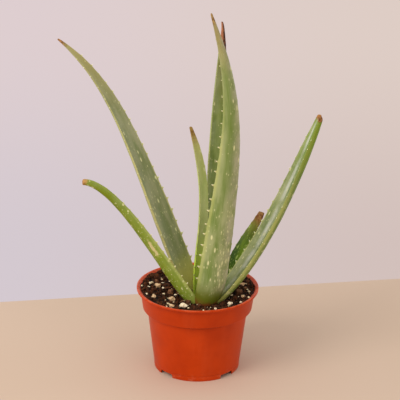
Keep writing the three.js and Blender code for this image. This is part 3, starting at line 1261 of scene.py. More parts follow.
@dataclass
class PottingMix:
    """The dished bed of mix, its crumbs, fibres and dust-fine perlite. Sizes in millimetres."""

    CLODS, LUMPS, GRIT = 190.0, 520.0, 1300.0  # how many of each lie in a metre

    edge_height: float = 72.3
    dish: float = 3.5
    edge_radius: float = 49.45
    flank: tuple[Pair, ...] = ((35.6, 5.2), (41.7, 54.0), (45.6, 55.4), (48.1, 71.6))
    settled: float = 3.2
    settled_radius: float = 19.0
    settled_middle: Pair = (3.0, -12.0)
    leaf_foot: Pair = (3.0, -13.0)
    leaf_foot_radius: float = 9.0
    steps: int = 144
    rings: int = 46
    crumbs: int = 760
    specks: int = 150
    fibres: int = 90
    seed: int = 41
    bed_finish: Mineral = field(
        default_factory=lambda: Mineral(
            "mix_bed", srgb(54, 28, 13), srgb(10, 5, 3), srgb(92, 50, 26), scale=700.0, stained=0.35,
            roughness=0.95, relief=0.0009,
        )
    )
    crumb_finish: Mineral = field(
        default_factory=lambda: Mineral(
            "mix_crumb", srgb(80, 42, 21), srgb(13, 7, 4), srgb(132, 78, 42), scale=1100.0, stained=0.25,
            roughness=0.95,
        )
    )
    speck_finish: Mineral = field(
        default_factory=lambda: Mineral(
            "perlite_dust", srgb(246, 228, 190), srgb(214, 184, 142), srgb(150, 104, 62), scale=1600.0,
            stained=0.35,
        )
    )
    fibre_finish: Mineral = field(
        default_factory=lambda: Mineral(
            "mix_fibre", srgb(134, 92, 60), srgb(64, 38, 24), srgb(40, 24, 16), Texture.FIBROUS, scale=1300.0
        )
    )

    @staticmethod
    def grain_places() -> list[tuple[Vector, float]]:
        """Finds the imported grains.

        Returns:
            Each grain's middle and radius, in metres.
        """
        places = []
        kinds = {kind.value for kind in GrainKind}
        for node in sorted(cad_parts):
            if node.split("_")[0] in kinds:
                low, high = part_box(node)
                places.append(((low + high) / 2, max(high.x - low.x, high.y - low.y) / 2))
        return places

    def surface(self, radius: float) -> float:
        """Gives the height of the mix, in metres, at a distance in metres from the pot's axis."""
        share = radius / (self.edge_radius * MM)
        return (self.edge_height - self.dish * (1 - share * share)) * MM

    def sink(self, spot: Vector) -> float:
        """Gives how far, in metres, the mix has settled around the plant at a spot."""
        away = (spot - Frame.beside(self.settled_middle)).xy.length / (self.settled_radius * MM)
        return self.settled * MM * math.exp(-away * away)

    def bed(self, effects: Effects) -> Piece:
        """Turns the bed and roughens its top into clods.

        Args:
            effects: The shared groups.

        Returns:
            The bed.
        """
        reaches = [self.edge_radius * MM * (1 - ring / self.rings) for ring in range(self.rings + 1)]
        bottom = self.flank[0][1]
        side = [(radius * MM, height * MM) for radius, height in ((0.0, bottom), (18.0, bottom), *self.flank)]
        profile = side + [(reach, self.surface(reach)) for reach in reaches]
        bed = Turning.spin("mix_bed", profile, self.steps, False)
        bed.data.transform(Matrix.Translation(Frame.axis))
        grains = self.grain_places()
        Bench.edit(bed)
        shape = bmesh.from_edit_mesh(bed.data)
        for vertex in shape.verts:
            here = vertex.co
            if here.z < 66 * MM:
                continue
            clod = noise.noise(here * self.CLODS) * 0.9
            clod += noise.noise(here * self.LUMPS + Vector((3.0, 1.0, 0.0))) * 0.55
            clod += noise.noise(here * self.GRIT) * 0.25 - 0.1
            edge = min(1.0, max(0.0, (self.edge_radius * MM - (here - Frame.axis).xy.length) / (3 * MM)))
            dips = [math.exp(-(((here - middle).xy.length / radius) ** 2)) for middle, radius in grains]
            clod = mix(clod, -0.7, min(1.0, 1.3 * max(dips)))
            vertex.co.z += clod * MM * mix(0.3, 1.0, edge) - self.sink(here)
        bmesh.update_edit_mesh(bed.data)
        Bench.done()
        Bench.smooth(bed, 60)
        bed.data.materials.append(self.bed_finish.build(effects))
        return bed

    def _pebble(self, name: str, seed: float, flat: float) -> Piece:
        """Makes one small lumpy crumb, about a metre across before it is scaled.

        Args:
            name: The crumb's name.
            seed: What makes its lumps differ.
            flat: Its height as a share of its width.

        Returns:
            The crumb.
        """
        Bench.clear()
        bpy.ops.mesh.primitive_cube_add(size=1.0)
        crumb = bpy.context.object
        crumb.name = name
        Bench.edit(crumb)
        Bench.everything()
        bpy.ops.mesh.subdivide(number_cuts=1)
        bpy.ops.transform.tosphere(value=0.85)
        shape = bmesh.from_edit_mesh(crumb.data)
        for vertex in shape.verts:
            lump = noise.noise(vertex.co * 2.1 + Vector((seed, seed * 0.7, -seed)))
            vertex.co *= 1 + 0.75 * lump
            vertex.co.z *= flat
        bmesh.update_edit_mesh(crumb.data)
        Bench.done()
        return crumb

    def _splinter(self) -> Piece:
        """Makes one bent fibre by extruding a small ring along a crooked line.

        Returns:
            The fibre, about a metre long before it is scaled.
        """
        Bench.clear()
        upright = (0.0, math.pi / 2, 0.0)
        bpy.ops.mesh.primitive_circle_add(vertices=5, radius=0.05, fill_type="NGON", rotation=upright)
        fibre = bpy.context.object
        Bench.settle(fibre)
        Bench.edit(fibre)
        Bench.everything()
        for step, width in (((0.3, 0.06, 0.05), 1.2), ((0.3, -0.07, 0.02), 1.0), ((0.35, 0.03, -0.06), 0.35)):
            bpy.ops.mesh.extrude_region_move(TRANSFORM_OT_translate={"value": step})
            bpy.ops.transform.resize(value=(width, width, width))
        Bench.face_out()
        return Bench.done()

    def _strew(
        self,
        name: str,
        patterns: Sequence[Piece],
        count: int,
        sizes: Pair,
        stand: float,
        draw: random.Random,
    ) -> Piece:
        """Copies patterns over the bed and joins the copies into one piece.

        Args:
            name: The piece's name.
            patterns: The objects to copy.
            count: How many copies.
            sizes: The smallest and largest size, in millimetres.
            stand: How far a copy stands up, as a share of its size.
            draw: The seeded draw.

        Returns:
            The joined piece.
        """
        copies = []
        taken = self.grain_places() + [(Frame.beside(self.leaf_foot), self.leaf_foot_radius * MM)]
        index = 0
        while index < count:
            reach = math.sqrt(draw.random()) * (self.edge_radius - 0.8) * MM
            bearing = draw.random() * 2 * math.pi
            size = mix(sizes[0], sizes[1], draw.random() ** 2.2) * MM
            reach = min(reach, (self.edge_radius - 0.6) * MM - size / 2)
            spot = Frame.axis + Vector((math.cos(bearing) * reach, math.sin(bearing) * reach, 0.0))
            if any((spot - middle).xy.length < radius + 0.35 * size for middle, radius in taken):
                continue
            spot.z = self.surface(reach) - self.sink(spot) + size * stand * draw.uniform(0.5, 1.3)
            turn = Euler((draw.uniform(-0.5, 0.5), draw.uniform(-0.5, 0.5), draw.random() * 6.28))
            place = Matrix.Translation(spot) @ turn.to_matrix().to_4x4() @ Matrix.Scale(size, 4)
            copies.append(Bench.copy(patterns[index % len(patterns)], place))
            index += 1
        piece = Bench.join(copies, name)
        for pattern in patterns:
            Bench.discard(pattern)
        Bench.smooth(piece, 50)
        return piece

    def loose(self, effects: Effects) -> list[Piece]:
        """Strews the crumbs, the fibres and the finest perlite.

        Args:
            effects: The shared groups.

        Returns:
            The three pieces.
        """
        draw = random.Random(self.seed)
        crumbs = [self._pebble(f"crumb_{i}", 1.3 * i + 0.4, 0.7) for i in range(5)]
        specks = [self._pebble(f"speck_{i}", 2.1 * i + 7.0, 0.85) for i in range(3)]
        made = [
            self._strew("mix_crumbs", crumbs, self.crumbs, (0.9, 3.6), 0.22, draw),
            self._strew("mix_perlite_dust", specks, self.specks, (0.5, 1.9), 0.3, draw),
            self._strew("mix_fibres", [self._splinter()], self.fibres, (2.0, 6.5), 0.08, draw),
        ]
        for piece, finish in zip(made, (self.crumb_finish, self.speck_finish, self.fibre_finish)):
            piece.data.materials.append(finish.build(effects))
        return made


class GrainKind(Enum):
    """The three kinds of grain that lie in the mix."""

    PERLITE = "perlite"
    PUMICE = "pumice"
    BARK = "bark"


@dataclass
class GrainSet:
    """The larger grains: one angular or lumpy piece for each packed grain, fitted to its node's box."""

    levels: int = 3
    facets: int = 11
    cut: float = 0.85
    finishes: dict[GrainKind, Mineral] = field(
        default_factory=lambda: {
            GrainKind.PERLITE: Mineral(
                "perlite", srgb(250, 232, 202), srgb(222, 196, 160), srgb(140, 100, 64),
                scale=1300.0, stained=0.28,
            ),
            GrainKind.PUMICE: Mineral(
                "pumice", srgb(236, 200, 158), srgb(188, 146, 106), srgb(110, 72, 44),
                scale=1000.0, stained=0.36,
            ),
            GrainKind.BARK: Mineral(
                "bark", srgb(146, 98, 66), srgb(78, 46, 28), srgb(44, 26, 16), Texture.FIBROUS,
                scale=1100.0, stained=0.5,
            ),
        }
    )

    def _shape(self, kind: GrainKind, node: str, seed: float) -> Piece:
        """Models one grain in the box of its node.

        Args:
            kind: What the grain is of.
            node: The node it stands for.
            seed: What makes its lumps differ.

        Returns:
            The grain.
        """
        low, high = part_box(node)
        size, middle = high - low, (low + high) / 2
        Bench.clear()
        bpy.ops.mesh.primitive_ico_sphere_add(subdivisions=self.levels + 1, radius=0.5)
        grain = bpy.context.object
        grain.name = f"{node}_grain"
        grain.data.name = grain.name
        Bench.edit(grain)
        shape = bmesh.from_edit_mesh(grain.data)
        shift = Vector((seed, -seed * 0.6, seed * 0.3))
        draw = random.Random(round(seed * 10))
        facets = [
            (Vector([draw.gauss(0.0, 1.0) for _ in range(3)]).normalized(), draw.uniform(0.3, 0.43))
            for _ in range(0 if kind is GrainKind.BARK else self.facets)
        ]
        for vertex in shape.verts:
            for facing, reach in facets:
                vertex.co -= facing * self.cut * max(0.0, vertex.co.dot(facing) - reach)
            round_place = vertex.co * 2
            if kind is GrainKind.BARK:
                vertex.co.z = max(-0.24, min(0.24, vertex.co.z))
                vertex.co.y = max(-0.33, min(0.36, vertex.co.y))
                ribs = Vector((round_place.x * 0.8, round_place.y * 4.0, round_place.z * 2.0))
                lump = noise.noise(ribs + shift) * 0.3
            elif kind is GrainKind.PUMICE:
                lump = noise.noise(round_place * 1.3 + shift) * 0.4
                lump -= 0.22 * max(0.0, noise.noise(round_place * 4.5 + shift)) ** 1.2
            else:
                lump = noise.noise(round_place * 1.1 + shift) * 0.3
                lump += 0.16 * abs(noise.noise(round_place * 3.2 + shift))
            vertex.co *= 1 + lump
        bmesh.update_edit_mesh(grain.data)
        Bench.done()
        corners = [vertex.co for vertex in grain.data.vertices]
        spread = Vector([max(c[i] for c in corners) - min(c[i] for c in corners) for i in range(3)])
        scale = Matrix.Diagonal((size.x / spread.x, size.y / spread.y, size.z / spread.z, 1.0))
        grain.data.transform(Matrix.Translation(middle) @ scale)
        Bench.smooth(grain, 55)
        return grain

    def build(self, effects: Effects) -> list[tuple[Piece, GrainKind, str]]:
        """Models every grain of the frame.

        Args:
            effects: The shared groups.

        Returns:
            Each grain with its kind and its node.
        """
        dressed = {kind: finish.build(effects) for kind, finish in self.finishes.items()}
        made = []
        for kind in GrainKind:
            nodes = sorted(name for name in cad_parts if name.startswith(f"{kind.value}_"))
            for index, node in enumerate(nodes):
                grain = self._shape(kind, node, 1.7 * index + len(kind.value))
                grain.data.materials.append(dressed[kind])
                made.append((grain, kind, node))
        return made


# ------------------------------------------------------------------------------------------
# The plant


class Spine:
    """A leaf's middle line: a curve of four points, walked by its own length."""

    def __init__(self, points: Sequence[Sequence[float]], origin: Vector, samples: int = 400) -> None:
        """Measures the curve.

        Args:
            points: The four points, in millimetres from the origin.
            origin: Where they are measured from, in metres.
            samples: How finely the length is measured.
        """
        self.points = [origin + Vector(point) * MM for point in points]
        self.lengths = [0.0]
        previous = self._at(0.0)
        for index in range(1, samples + 1):
            here = self._at(index / samples)
            self.lengths.append(self.lengths[-1] + (here - previous).length)
            previous = here
        self.length = self.lengths[-1]

    def _at(self, share: float) -> Vector:
        """Gives a point of the curve.

        Args:
            share: The curve's parameter, from 0 to 1.

        Returns:
            The point, in metres.
        """
        a, b, c, d = self.points
        left = 1 - share
        return a * left**3 + b * (3 * left**2 * share) + c * (3 * left * share**2) + d * share**3

    def place(self, along: float) -> tuple[Vector, Vector]:
        """Gives the point and the direction at a share of the length.

        Args:
            along: The share of the length, from 0 to 1.

        Returns:
            The point and the unit direction towards the tip.
        """
        wanted = min(1.0, max(0.0, along)) * self.length
        low, high = 0, len(self.lengths) - 1
        while high - low > 1:
            middle = (low + high) // 2
            if self.lengths[middle] <= wanted:
                low = middle
            else:
                high = middle
        part = (wanted - self.lengths[low]) / max(1e-12, self.lengths[high] - self.lengths[low])
        share = (low + part) / (len(self.lengths) - 1)
        a, b, c, d = self.points
        left = 1 - share
        slope = (b - a) * (3 * left**2) + (c - b) * (6 * left * share) + (d - c) * (3 * share**2)
        return self._at(share), slope.normalized()


@dataclass
class Tooth:
    """One marginal tooth: a flat horn that leans towards the leaf's tip. Sizes as shares of its height."""

    length: float = 1.1
    thickness: float = 0.42
    root: float = 0.25
    rises: tuple[Triple, ...] = ((0.3, 0.7, 0.1), (0.34, 0.58, 0.16), (0.36, 0.3, 0.2))

    def pattern(self, horn: bpy.types.Material) -> Piece:
        """Models the tooth once: X towards the tip of the leaf, Z outwards, its root under Z = 0.

        Args:
            horn: The tooth's finish.

        Returns:
            The tooth.
        """
        Bench.clear()
        root = (0.0, 0.0, -self.root)
        bpy.ops.mesh.primitive_circle_add(vertices=8, radius=0.5, fill_type="NGON", location=root)
        tooth = bpy.context.object
        tooth.name = "tooth_pattern"
        tooth.scale = (self.length, self.thickness, 1.0)
        Bench.settle(tooth)
        Bench.edit(tooth)
        Bench.everything()
        bpy.ops.mesh.extrude_region_move(TRANSFORM_OT_translate={"value": (0.0, 0.0, self.root)})
        for rise, width, lean in self.rises:
            bpy.ops.mesh.extrude_region_move(TRANSFORM_OT_translate={"value": (lean, 0.0, rise)})
            bpy.ops.transform.resize(value=(width, width, 1.0))
        Bench.face_out()
        Bench.done()
        for name in [layer.name for layer in tooth.data.uv_layers]:
            tooth.data.uv_layers.remove(tooth.data.uv_layers[name])
        for name in ("skin", "lay"):
            layer = tooth.data.uv_layers.new(name=name)
            for loop in tooth.data.loops:
                here = tooth.data.vertices[loop.vertex_index].co
                layer.data[loop.index].uv = (here.x, max(0.0, here.z))
        tooth.data.materials.append(horn)
        return tooth


@dataclass
class Leaf:
    """One leaf: a lofted crescent section along a spine, with teeth on both margins. Sizes in millimetres."""

    node: str
    points: tuple[Triple, ...]
    width: float
    root_width: float
    tip_width: float
    belly: float
    taper: float
    thickness: float
    channel: float
    facing: float
    skin: AloeSkin
    tooth_height: float = 2.0
    tooth_pitch: float = 11.0
    teeth_from: float = 0.1
    teeth_to: float = 0.93
    tooth_fade: float = 0.42
    tooth_fold: Pair = (18.0, 18.0)
    tooth_spread: float = 0.9
    root_power: float = 1.0
    root_shift: float = 0.0
    root_reach: float = 0.12
    tip_cut: float = 0.0
    stations: int = 104
    sides: int = 28
    seed: int = 0

    TIP_ROUNDNESS = 0.75
    CHANNEL_FADE = 0.8
    WAVER = 0.035
    TOOTH_SWELL = 0.26
    SWELL_REACH = 1.5 * MM
    CUT_SHARE = 0.05

    def _width(self, along: float) -> float:
        """Gives the leaf's width.

        Args:
            along: The share of the length, from 0 to 1.

        Returns:
            The width in millimetres.
        """
        if along < self.belly:
            left = 1 - along / self.belly
            return mix(self.root_width, self.width, (1 - left * left) ** self.root_power)
        past = (along - self.belly) / (1 - self.belly)
        return mix(self.tip_width, self.width, 1 - past**self.taper)

    def _axes(self, spine: Spine, along: float) -> tuple[Vector, Vector, Vector, Vector]:
        """Gives the directions that a section is laid out in.

        Args:
            spine: The middle line.
            along: The share of the length.

        Returns:
            The middle, and the unit directions towards the tip, out of the upper side and across.
        """
        middle, tangent = spine.place(along)
        toward = Vector((math.cos(math.radians(self.facing)), math.sin(math.radians(self.facing)), 0.0))
        upper = (toward - tangent * toward.dot(tangent)).normalized()
        return middle, tangent, upper, tangent.cross(upper)

    def _tooth_places(self, spine: Spine) -> list[ToothPlace]:
        """Spaces the teeth along both margins.

        Args:
            spine: The leaf's middle line.

        Returns:
            The share of the length, the margin (1 or -1) and the height in metres of each tooth.
        """
        draw = random.Random(900 + self.seed)
        pitch = self.tooth_pitch * MM / spine.length
        places = []
        for margin in (1, -1):
            along = self.teeth_from + draw.uniform(0.0, pitch)
            while along < self.teeth_to:
                fade = mix(1.0, self.tooth_fade, along) * min(1.0, (along - self.teeth_from) / 0.08 + 0.55)
                places.append((along, margin, self.tooth_height * MM * fade * draw.uniform(0.8, 1.15)))
                along += pitch * draw.uniform(0.78, 1.2) * mix(1.0, self.tooth_spread, along)
        return places

    def _section(
        self, spine: Spine, along: float, angle: float, opening: float, teeth: Sequence[ToothPlace]
    ) -> tuple[Vector, float]:
        """Gives one point of the leaf's surface.

        Args:
            spine: The middle line.
            along: The share of the length.
            angle: The place round the section, in radians.
            opening: How far the section is open, from 0 to 1.
            teeth: The teeth, whose roots swell the margin.

        Returns:
            The point and its distance across from the middle, in metres.
        """
        middle, tangent, upper, across = self._axes(spine, along)
        middle = middle + across * self.root_shift * MM * max(0.0, 1 - along / self.root_reach) ** 2
        half = self._width(min(1.0, along)) / 2 * MM
        key = Vector((along * 7.0 + self.seed, self.seed * 3.1, 0.0))
        half *= 1 + self.WAVER * noise.noise(key)
        side = math.cos(angle)
        swell = 0.0
        for place, margin, height in teeth:
            if margin * side > 0.6:
                gap = (place - along) * spine.length / self.SWELL_REACH
                if abs(gap) < 3:
                    swell = max(swell, self.TOOTH_SWELL * height * math.exp(-gap * gap))
        channel = self.channel * (1 - self.CHANNEL_FADE * min(1.0, along))
        thickness = mix(self.thickness, self.TIP_ROUNDNESS, min(1.0, along) ** 4)
        thickness *= 1 + 0.08 * noise.noise(key * 0.8 + Vector((9.0, 0.0, 0.0)))
        rise = 1 - side * side
        depth = 2 * channel * rise if math.sin(angle) >= 0 else 2 * (channel + thickness) * math.sqrt(rise)
        x = side * (half + swell * abs(side) ** 8) * opening
        y = (2 * channel + thickness - depth) * half * opening
        point = middle + across * x + upper * y + tangent * max(0.0, along - 1.0) * spine.length
        near_tip = max(0.0, (min(1.0, along) - 1) / self.CUT_SHARE + 1)
        point -= tangent * side * self.tip_cut * MM * near_tip**2
        lumps = 0.16 * noise.noise(point * 85.0) + 0.06 * noise.noise(point * 260.0)
        dry = min(1.0, max(0.0, (along - self.skin.tip_start) / 0.02))
        lumps += dry * 0.35 * noise.noise(point * 600.0 + Vector((self.seed, 0.0, 0.0)))
        outward = across * x + upper * (y - thickness * half * 0.2)
        if outward.length > 1e-6:
            point += outward.normalized() * lumps * MM * min(1.0, half / (4 * MM))
        return point, x

    def _rows(self) -> list[tuple[float, float]]:
        """Spaces the sections along the leaf, with both ends closed.

        Returns:
            Each section's share of the length and how far it is open, from 0 to 1.
        """
        root = [(0.0, 0.0), (0.0, 0.7)]
        tip = [(0.9995, 0.86), (1.001, 0.5), (1.0018, 0.0)]
        inner = self.stations - len(root) - len(tip) - 1
        blade = [(index / inner * 0.996, 1.0) for index in range(inner + 1)]
        return [*root, *blade, *tip]

    def build(self, tooth: Piece, origin: Vector, finish: bpy.types.Material) -> Piece:
        """Rolls a fine sheet into the leaf and sets its teeth.

        Args:
            tooth: The tooth to copy.
            origin: The plant's middle at the root level, in metres.
            finish: The leaf's skin.

        Returns:
            The leaf.
        """
        spine = Spine(self.points, origin)
        teeth = self._tooth_places(spine)
        rows = self._rows()
        last = len(rows) - 1
        Bench.clear()
        bpy.ops.mesh.primitive_grid_add(x_subdivisions=self.sides, y_subdivisions=last, size=1.0)
        leaf = bpy.context.object
        leaf.name = self.node + "_blade"
        mesh = leaf.data
        given = mesh.uv_layers.active.data
        spots = [(round(item.uv.x * self.sides), round(item.uv.y * last)) for item in given]
        centres = [sum(spots[loop][0] for loop in face.loop_indices) / 4 for face in mesh.polygons]
        skin, lay = mesh.uv_layers.new(name="skin"), mesh.uv_layers.new(name="lay")
        placed: dict[tuple[int, int], tuple[Vector, float]] = {}
        for face, centre in zip(mesh.polygons, centres):
            below = centre < self.sides / 2
            for loop in face.loop_indices:
                spot = spots[loop]
                along, opening = rows[spot[1]]
                if spot not in placed:
                    angle = -2 * math.pi * spot[0] / self.sides
                    placed[spot] = self._section(spine, along, angle, opening, teeth)
                    mesh.vertices[mesh.loops[loop].vertex_index].co = placed[spot][0]
                x = placed[spot][1]
                half = self._width(min(1.0, along)) / 2 * MM
                skin.data[loop].uv = (x + (UNDER_SHIFT if below else 0.0), along * spine.length)
                lay.data[loop].uv = (0.5 + 0.5 * max(-1.0, min(1.0, x / half)), min(1.0, along))
        mesh.uv_layers.remove(mesh.uv_layers[0])
        Bench.edit(leaf)
        Bench.weld(SAME_POINT / 2)
        Bench.face_out()
        Bench.done()
        Bench.apply(leaf, "SUBSURF", levels=1, render_levels=1)
        mesh.materials.append(finish)
        copies = [self._set(tooth, spine, place, teeth) for place in teeth]
        Bench.smooth(leaf, 48)
        return Bench.join([leaf, *copies], leaf.name)

    def _set(self, tooth: Piece, spine: Spine, place: ToothPlace, teeth: Sequence[ToothPlace]) -> Piece:
        """Sets one tooth on its margin.

        Args:
            tooth: The tooth to copy.
            spine: The middle line.
            place: The tooth's share of the length, its margin and its height.
            teeth: All the teeth.

        Returns:
            The copy.
        """
        along, margin, height = place
        _, tangent, upper, across = self._axes(spine, along)
        fold = math.radians(self.tooth_fold[0 if margin > 0 else 1])
        outward = across * margin * math.cos(fold) + upper * math.sin(fold)
        thick = (upper * math.cos(fold) - across * margin * math.sin(fold)) * margin
        root, _ = self._section(spine, along, 0.0 if margin > 0 else math.pi, 1.0, teeth)
        turn = Matrix((tangent, thick, outward)).transposed().to_4x4()
        sunk = Matrix.Translation(root - outward * height * 0.05)
        return Bench.copy(tooth, sunk @ turn @ Matrix.Scale(height, 4))


def plant_leaves() -> list[Leaf]:
    """Describes the seven leaves, from the innermost outwards.

    Returns:
        The leaves, with their spines in millimetres from the plant's middle.
    """
    return [
        Leaf(
            "leaf_centre_narrow",
            points=((-9, 2, 0), (-15, 4, 48), (6, 4, 81), (-17, 6, 156)),
            width=9, root_width=10, tip_width=2.4, belly=0.45,
            taper=3, thickness=0.42, channel=0.1, facing=-50,
            skin=AloeSkin(
                "skin_centre_narrow",
                light=srgb(196, 204, 136), deep=srgb(172, 188, 106), under=srgb(196, 212, 122),
                root=srgb(208, 234, 82), upper=srgb(176, 162, 92), upper_amount=0.6,
                tip=srgb(166, 134, 70), tip_dark=srgb(130, 94, 44), tip_start=0.925, tip_soft=0.055,
                root_end=0.3, rim_end=0.0, fleck_amount=0.3, fleck_to=1.0, bloom_and_sheen_amount=0.15, seed=0.13,
            ),
            tooth_height=1.5, tooth_pitch=9.0, seed=1,
        ),
        Leaf(
            "leaf_centre_back",
            points=((3, 14, 0), (4, 20, 188), (11, 26, 235), (8, 30, 240)),
            width=18.5, root_width=22, tip_width=1.5, belly=0.45,
            taper=1.8, thickness=0.3, channel=0.12, facing=-60,
            skin=AloeSkin(
                "skin_centre_back",
                light=srgb(134, 148, 80), deep=srgb(98, 118, 48), under=srgb(158, 172, 84),
                upper=srgb(124, 116, 56), upper_amount=0.75,
                tip=srgb(186, 120, 84), tip_dark=srgb(58, 34, 22), tip_start=0.9, tip_soft=0.02,
                tip_split=0.75, fleck_amount=0.25, fleck_to=1.0, seed=0.29,
            ),
            tooth_height=1.5, tooth_fade=0.25, seed=2,
        ),
        Leaf(
            "leaf_right_short",
            points=((13, 12, 0), (18, 20, 30), (40, 24, 56), (46, 28, 72)),
            width=11, root_width=13, tip_width=5, belly=0.3,
            taper=2.6, thickness=0.35, channel=0.12, facing=225,
            skin=AloeSkin(
                "skin_right_short",
                light=srgb(96, 120, 12), deep=srgb(36, 68, 0), under=srgb(78, 104, 2),
                fleck=srgb(150, 166, 84), margin_amount=0.25, upper=srgb(122, 112, 26), upper_amount=0.85,
                tip=srgb(146, 106, 58), tip_dark=srgb(116, 72, 38), tip_start=0.88, tip_soft=0.06,
                fleck_amount=0.8, fleck_to=1.0, bloom_and_sheen_amount=0.05, seed=0.41,
            ),
            tooth_height=1.4, tooth_pitch=8.0, seed=3,
        ),
        Leaf(
            "leaf_left_long",
            points=((-14, 8, 0), (-62, 22, 116), (-76, 38, 178), (-130, 52, 217)),
            width=22, root_width=20, tip_width=1.5, belly=0.2,
            taper=1.65, thickness=0.3, channel=0.14, facing=-38,
            skin=AloeSkin(
                "skin_left_long",
                light=srgb(150, 149, 112), deep=srgb(118, 126, 80), under=srgb(158, 172, 84),
                margin=srgb(192, 184, 120), margin_amount=0.85, upper=srgb(168, 148, 86), upper_amount=0.6,
                tip=srgb(176, 122, 66), tip_dark=srgb(120, 80, 44), tip_start=0.97,
                root=srgb(208, 196, 112), root_end=0.12, rim_end=0.0,
                fleck_amount=0.3, fleck_to=1.0, bloom_and_sheen_amount=0.25, seed=0.57,
            ),
            tooth_height=2.0, tooth_fade=0.55, seed=4,
        ),
        Leaf(
            "leaf_right_long",
            points=((4, -11, 0), (39, 1, 28), (67, 16, 86), (93, 28, 158)),
            width=20, root_width=10, tip_width=6, belly=0.3,
            taper=2.5, thickness=0.32, channel=0.2, facing=200,
            skin=AloeSkin(
                "skin_right_long",
                light=srgb(152, 158, 106), deep=srgb(98, 118, 50), under=srgb(122, 138, 44),
                margin_amount=0.6, upper=srgb(116, 140, 12), upper_amount=0.8,
                tip=srgb(166, 112, 60), tip_dark=srgb(120, 76, 40), tip_start=0.99, tip_soft=0.008,
                fleck_amount=0.5, fleck_size=0.9, bloom_and_sheen=srgb(196, 192, 156), bloom_and_sheen_amount=0.5,
                # A painted sheen along the channel.
                painted_sheen=srgb(214, 212, 200), painted_sheen_amount=0.7, seed=0.71,
            ),
            tooth_height=1.9, tooth_fade=0.6, tip_cut=2.4, seed=5,
        ),
        Leaf(
            "leaf_centre_front",
            points=((3, -17, 0), (18, -22, 146), (28, -32, 180), (-1, -34, 264)),
            width=26, root_width=8, tip_width=1.5, belly=0.1,
            taper=1.5, thickness=0.36, channel=0.1, facing=112,
            skin=AloeSkin(
                "skin_centre_front",
                light=srgb(160, 166, 114), deep=srgb(122, 138, 76), under=srgb(158, 162, 112),
                # A heavy waxy coat, partly painted sheen on one side.
                bloom_and_sheen=srgb(188, 178, 156), bloom_and_sheen_amount=0.8, upper=srgb(162, 138, 92), upper_amount=0.7,
                upper_from=0.78, tip=srgb(170, 138, 84), tip_dark=srgb(128, 94, 52), tip_start=0.965,
                root=srgb(96, 100, 22), root_end=0.075, rim=srgb(120, 64, 28), rim_end=0.03,
                fleck_to=0.42, fleck_amount=1.15, fleck_side=-1.0, fleck_long=0.28,
                # A darker middle band, partly painted shade.
                band=srgb(104, 124, 54), band_amount=0.75, band_at=0.3, band_from=0.4, seed=0.83,
            ),
            tooth_height=2.8, tooth_pitch=9.5, tooth_fade=0.2, tooth_fold=(10.0, 75.0), tooth_spread=1.5,
            root_power=0.4, root_shift=5.5, seed=6,
        ),
        Leaf(
            "leaf_left_low",
            points=((-9, -15, 0), (-29, -15, 16), (-75, -22, 116), (-105, -26, 117)),
            width=13.2, root_width=9, tip_width=5, belly=0.2,
            taper=1.6, thickness=0.42, channel=0.12, facing=46,
            skin=AloeSkin(
                "skin_left_low",
                light=srgb(128, 142, 40), deep=srgb(96, 118, 10), under=srgb(138, 152, 46),
                band=srgb(108, 128, 16), upper=srgb(116, 126, 8), upper_amount=0.6,
                root=srgb(140, 150, 62), tip=srgb(188, 140, 80), tip_dark=srgb(140, 94, 50), tip_start=0.982,
                fleck_amount=0.45, fleck_size=0.7, bloom_and_sheen_amount=0.15, scar=(-0.58, 0.45), seed=0.97,
            ),
            tooth_height=1.7, tooth_pitch=10.0, tooth_fade=0.6, root_power=0.6, seed=7,
        ),
    ]


@dataclass
class Aloe:
    """The plant: seven leaves on a short buried stem. Sizes in millimetres."""

    root_level: float = 62.8
    leaves: list[Leaf] = field(default_factory=plant_leaves)
    stem_finish: Mineral = field(
        default_factory=lambda: Mineral(
            "stem_skin", srgb(140, 126, 74), srgb(92, 78, 40), srgb(70, 46, 26), Texture.FIBROUS,
            scale=600.0, stained=0.4, roughness=0.75,
        )
    )

    def build(self, effects: Effects) -> list[tuple[Piece, str]]:
        """Builds every leaf.

        Args:
            effects: The shared groups.

        Returns:
            Each leaf with its node.
        """
        origin = Frame.plant + Vector((0.0, 0.0, self.root_level * MM))
        tooth = Tooth().pattern(ToothHorn().build(effects))
        made = []
        for leaf in self.leaves:
            made.append((leaf.build(tooth, origin, leaf.skin.build(effects)), leaf.node))
        Bench.discard(tooth)
        return made

    def dress_stem(self, effects: Effects) -> None:
        """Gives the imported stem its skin.

        Args:
            effects: The shared groups.
        """
        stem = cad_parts["stem"]
        stem.data.materials.clear()
        stem.data.materials.append(self.stem_finish.build(effects))


# ------------------------------------------------------------------------------------------
# The studio


@dataclass
class SoftLight:
    """One large lamp: its place and aim in metres, its side in metres and its power in watts."""

    name: str
    place: Triple
    aim: Triple
    side: float
    power: float
    colour: Colour = (1.0, 1.0, 1.0)

    def build(self) -> None:
        """Hangs the lamp and points it at its aim."""
        Bench.clear()
        bpy.ops.object.light_add(type="AREA", location=self.place)
        lamp = bpy.context.object
        lamp.name = self.name
        lamp.data.shape = "DISK"
        lamp.data.size = self.side
        lamp.data.energy = self.power
        lamp.data.color = self.colour
        lamp.rotation_euler = (Vector(self.aim) - Vector(self.place)).to_track_quat("-Z", "Y").to_euler()


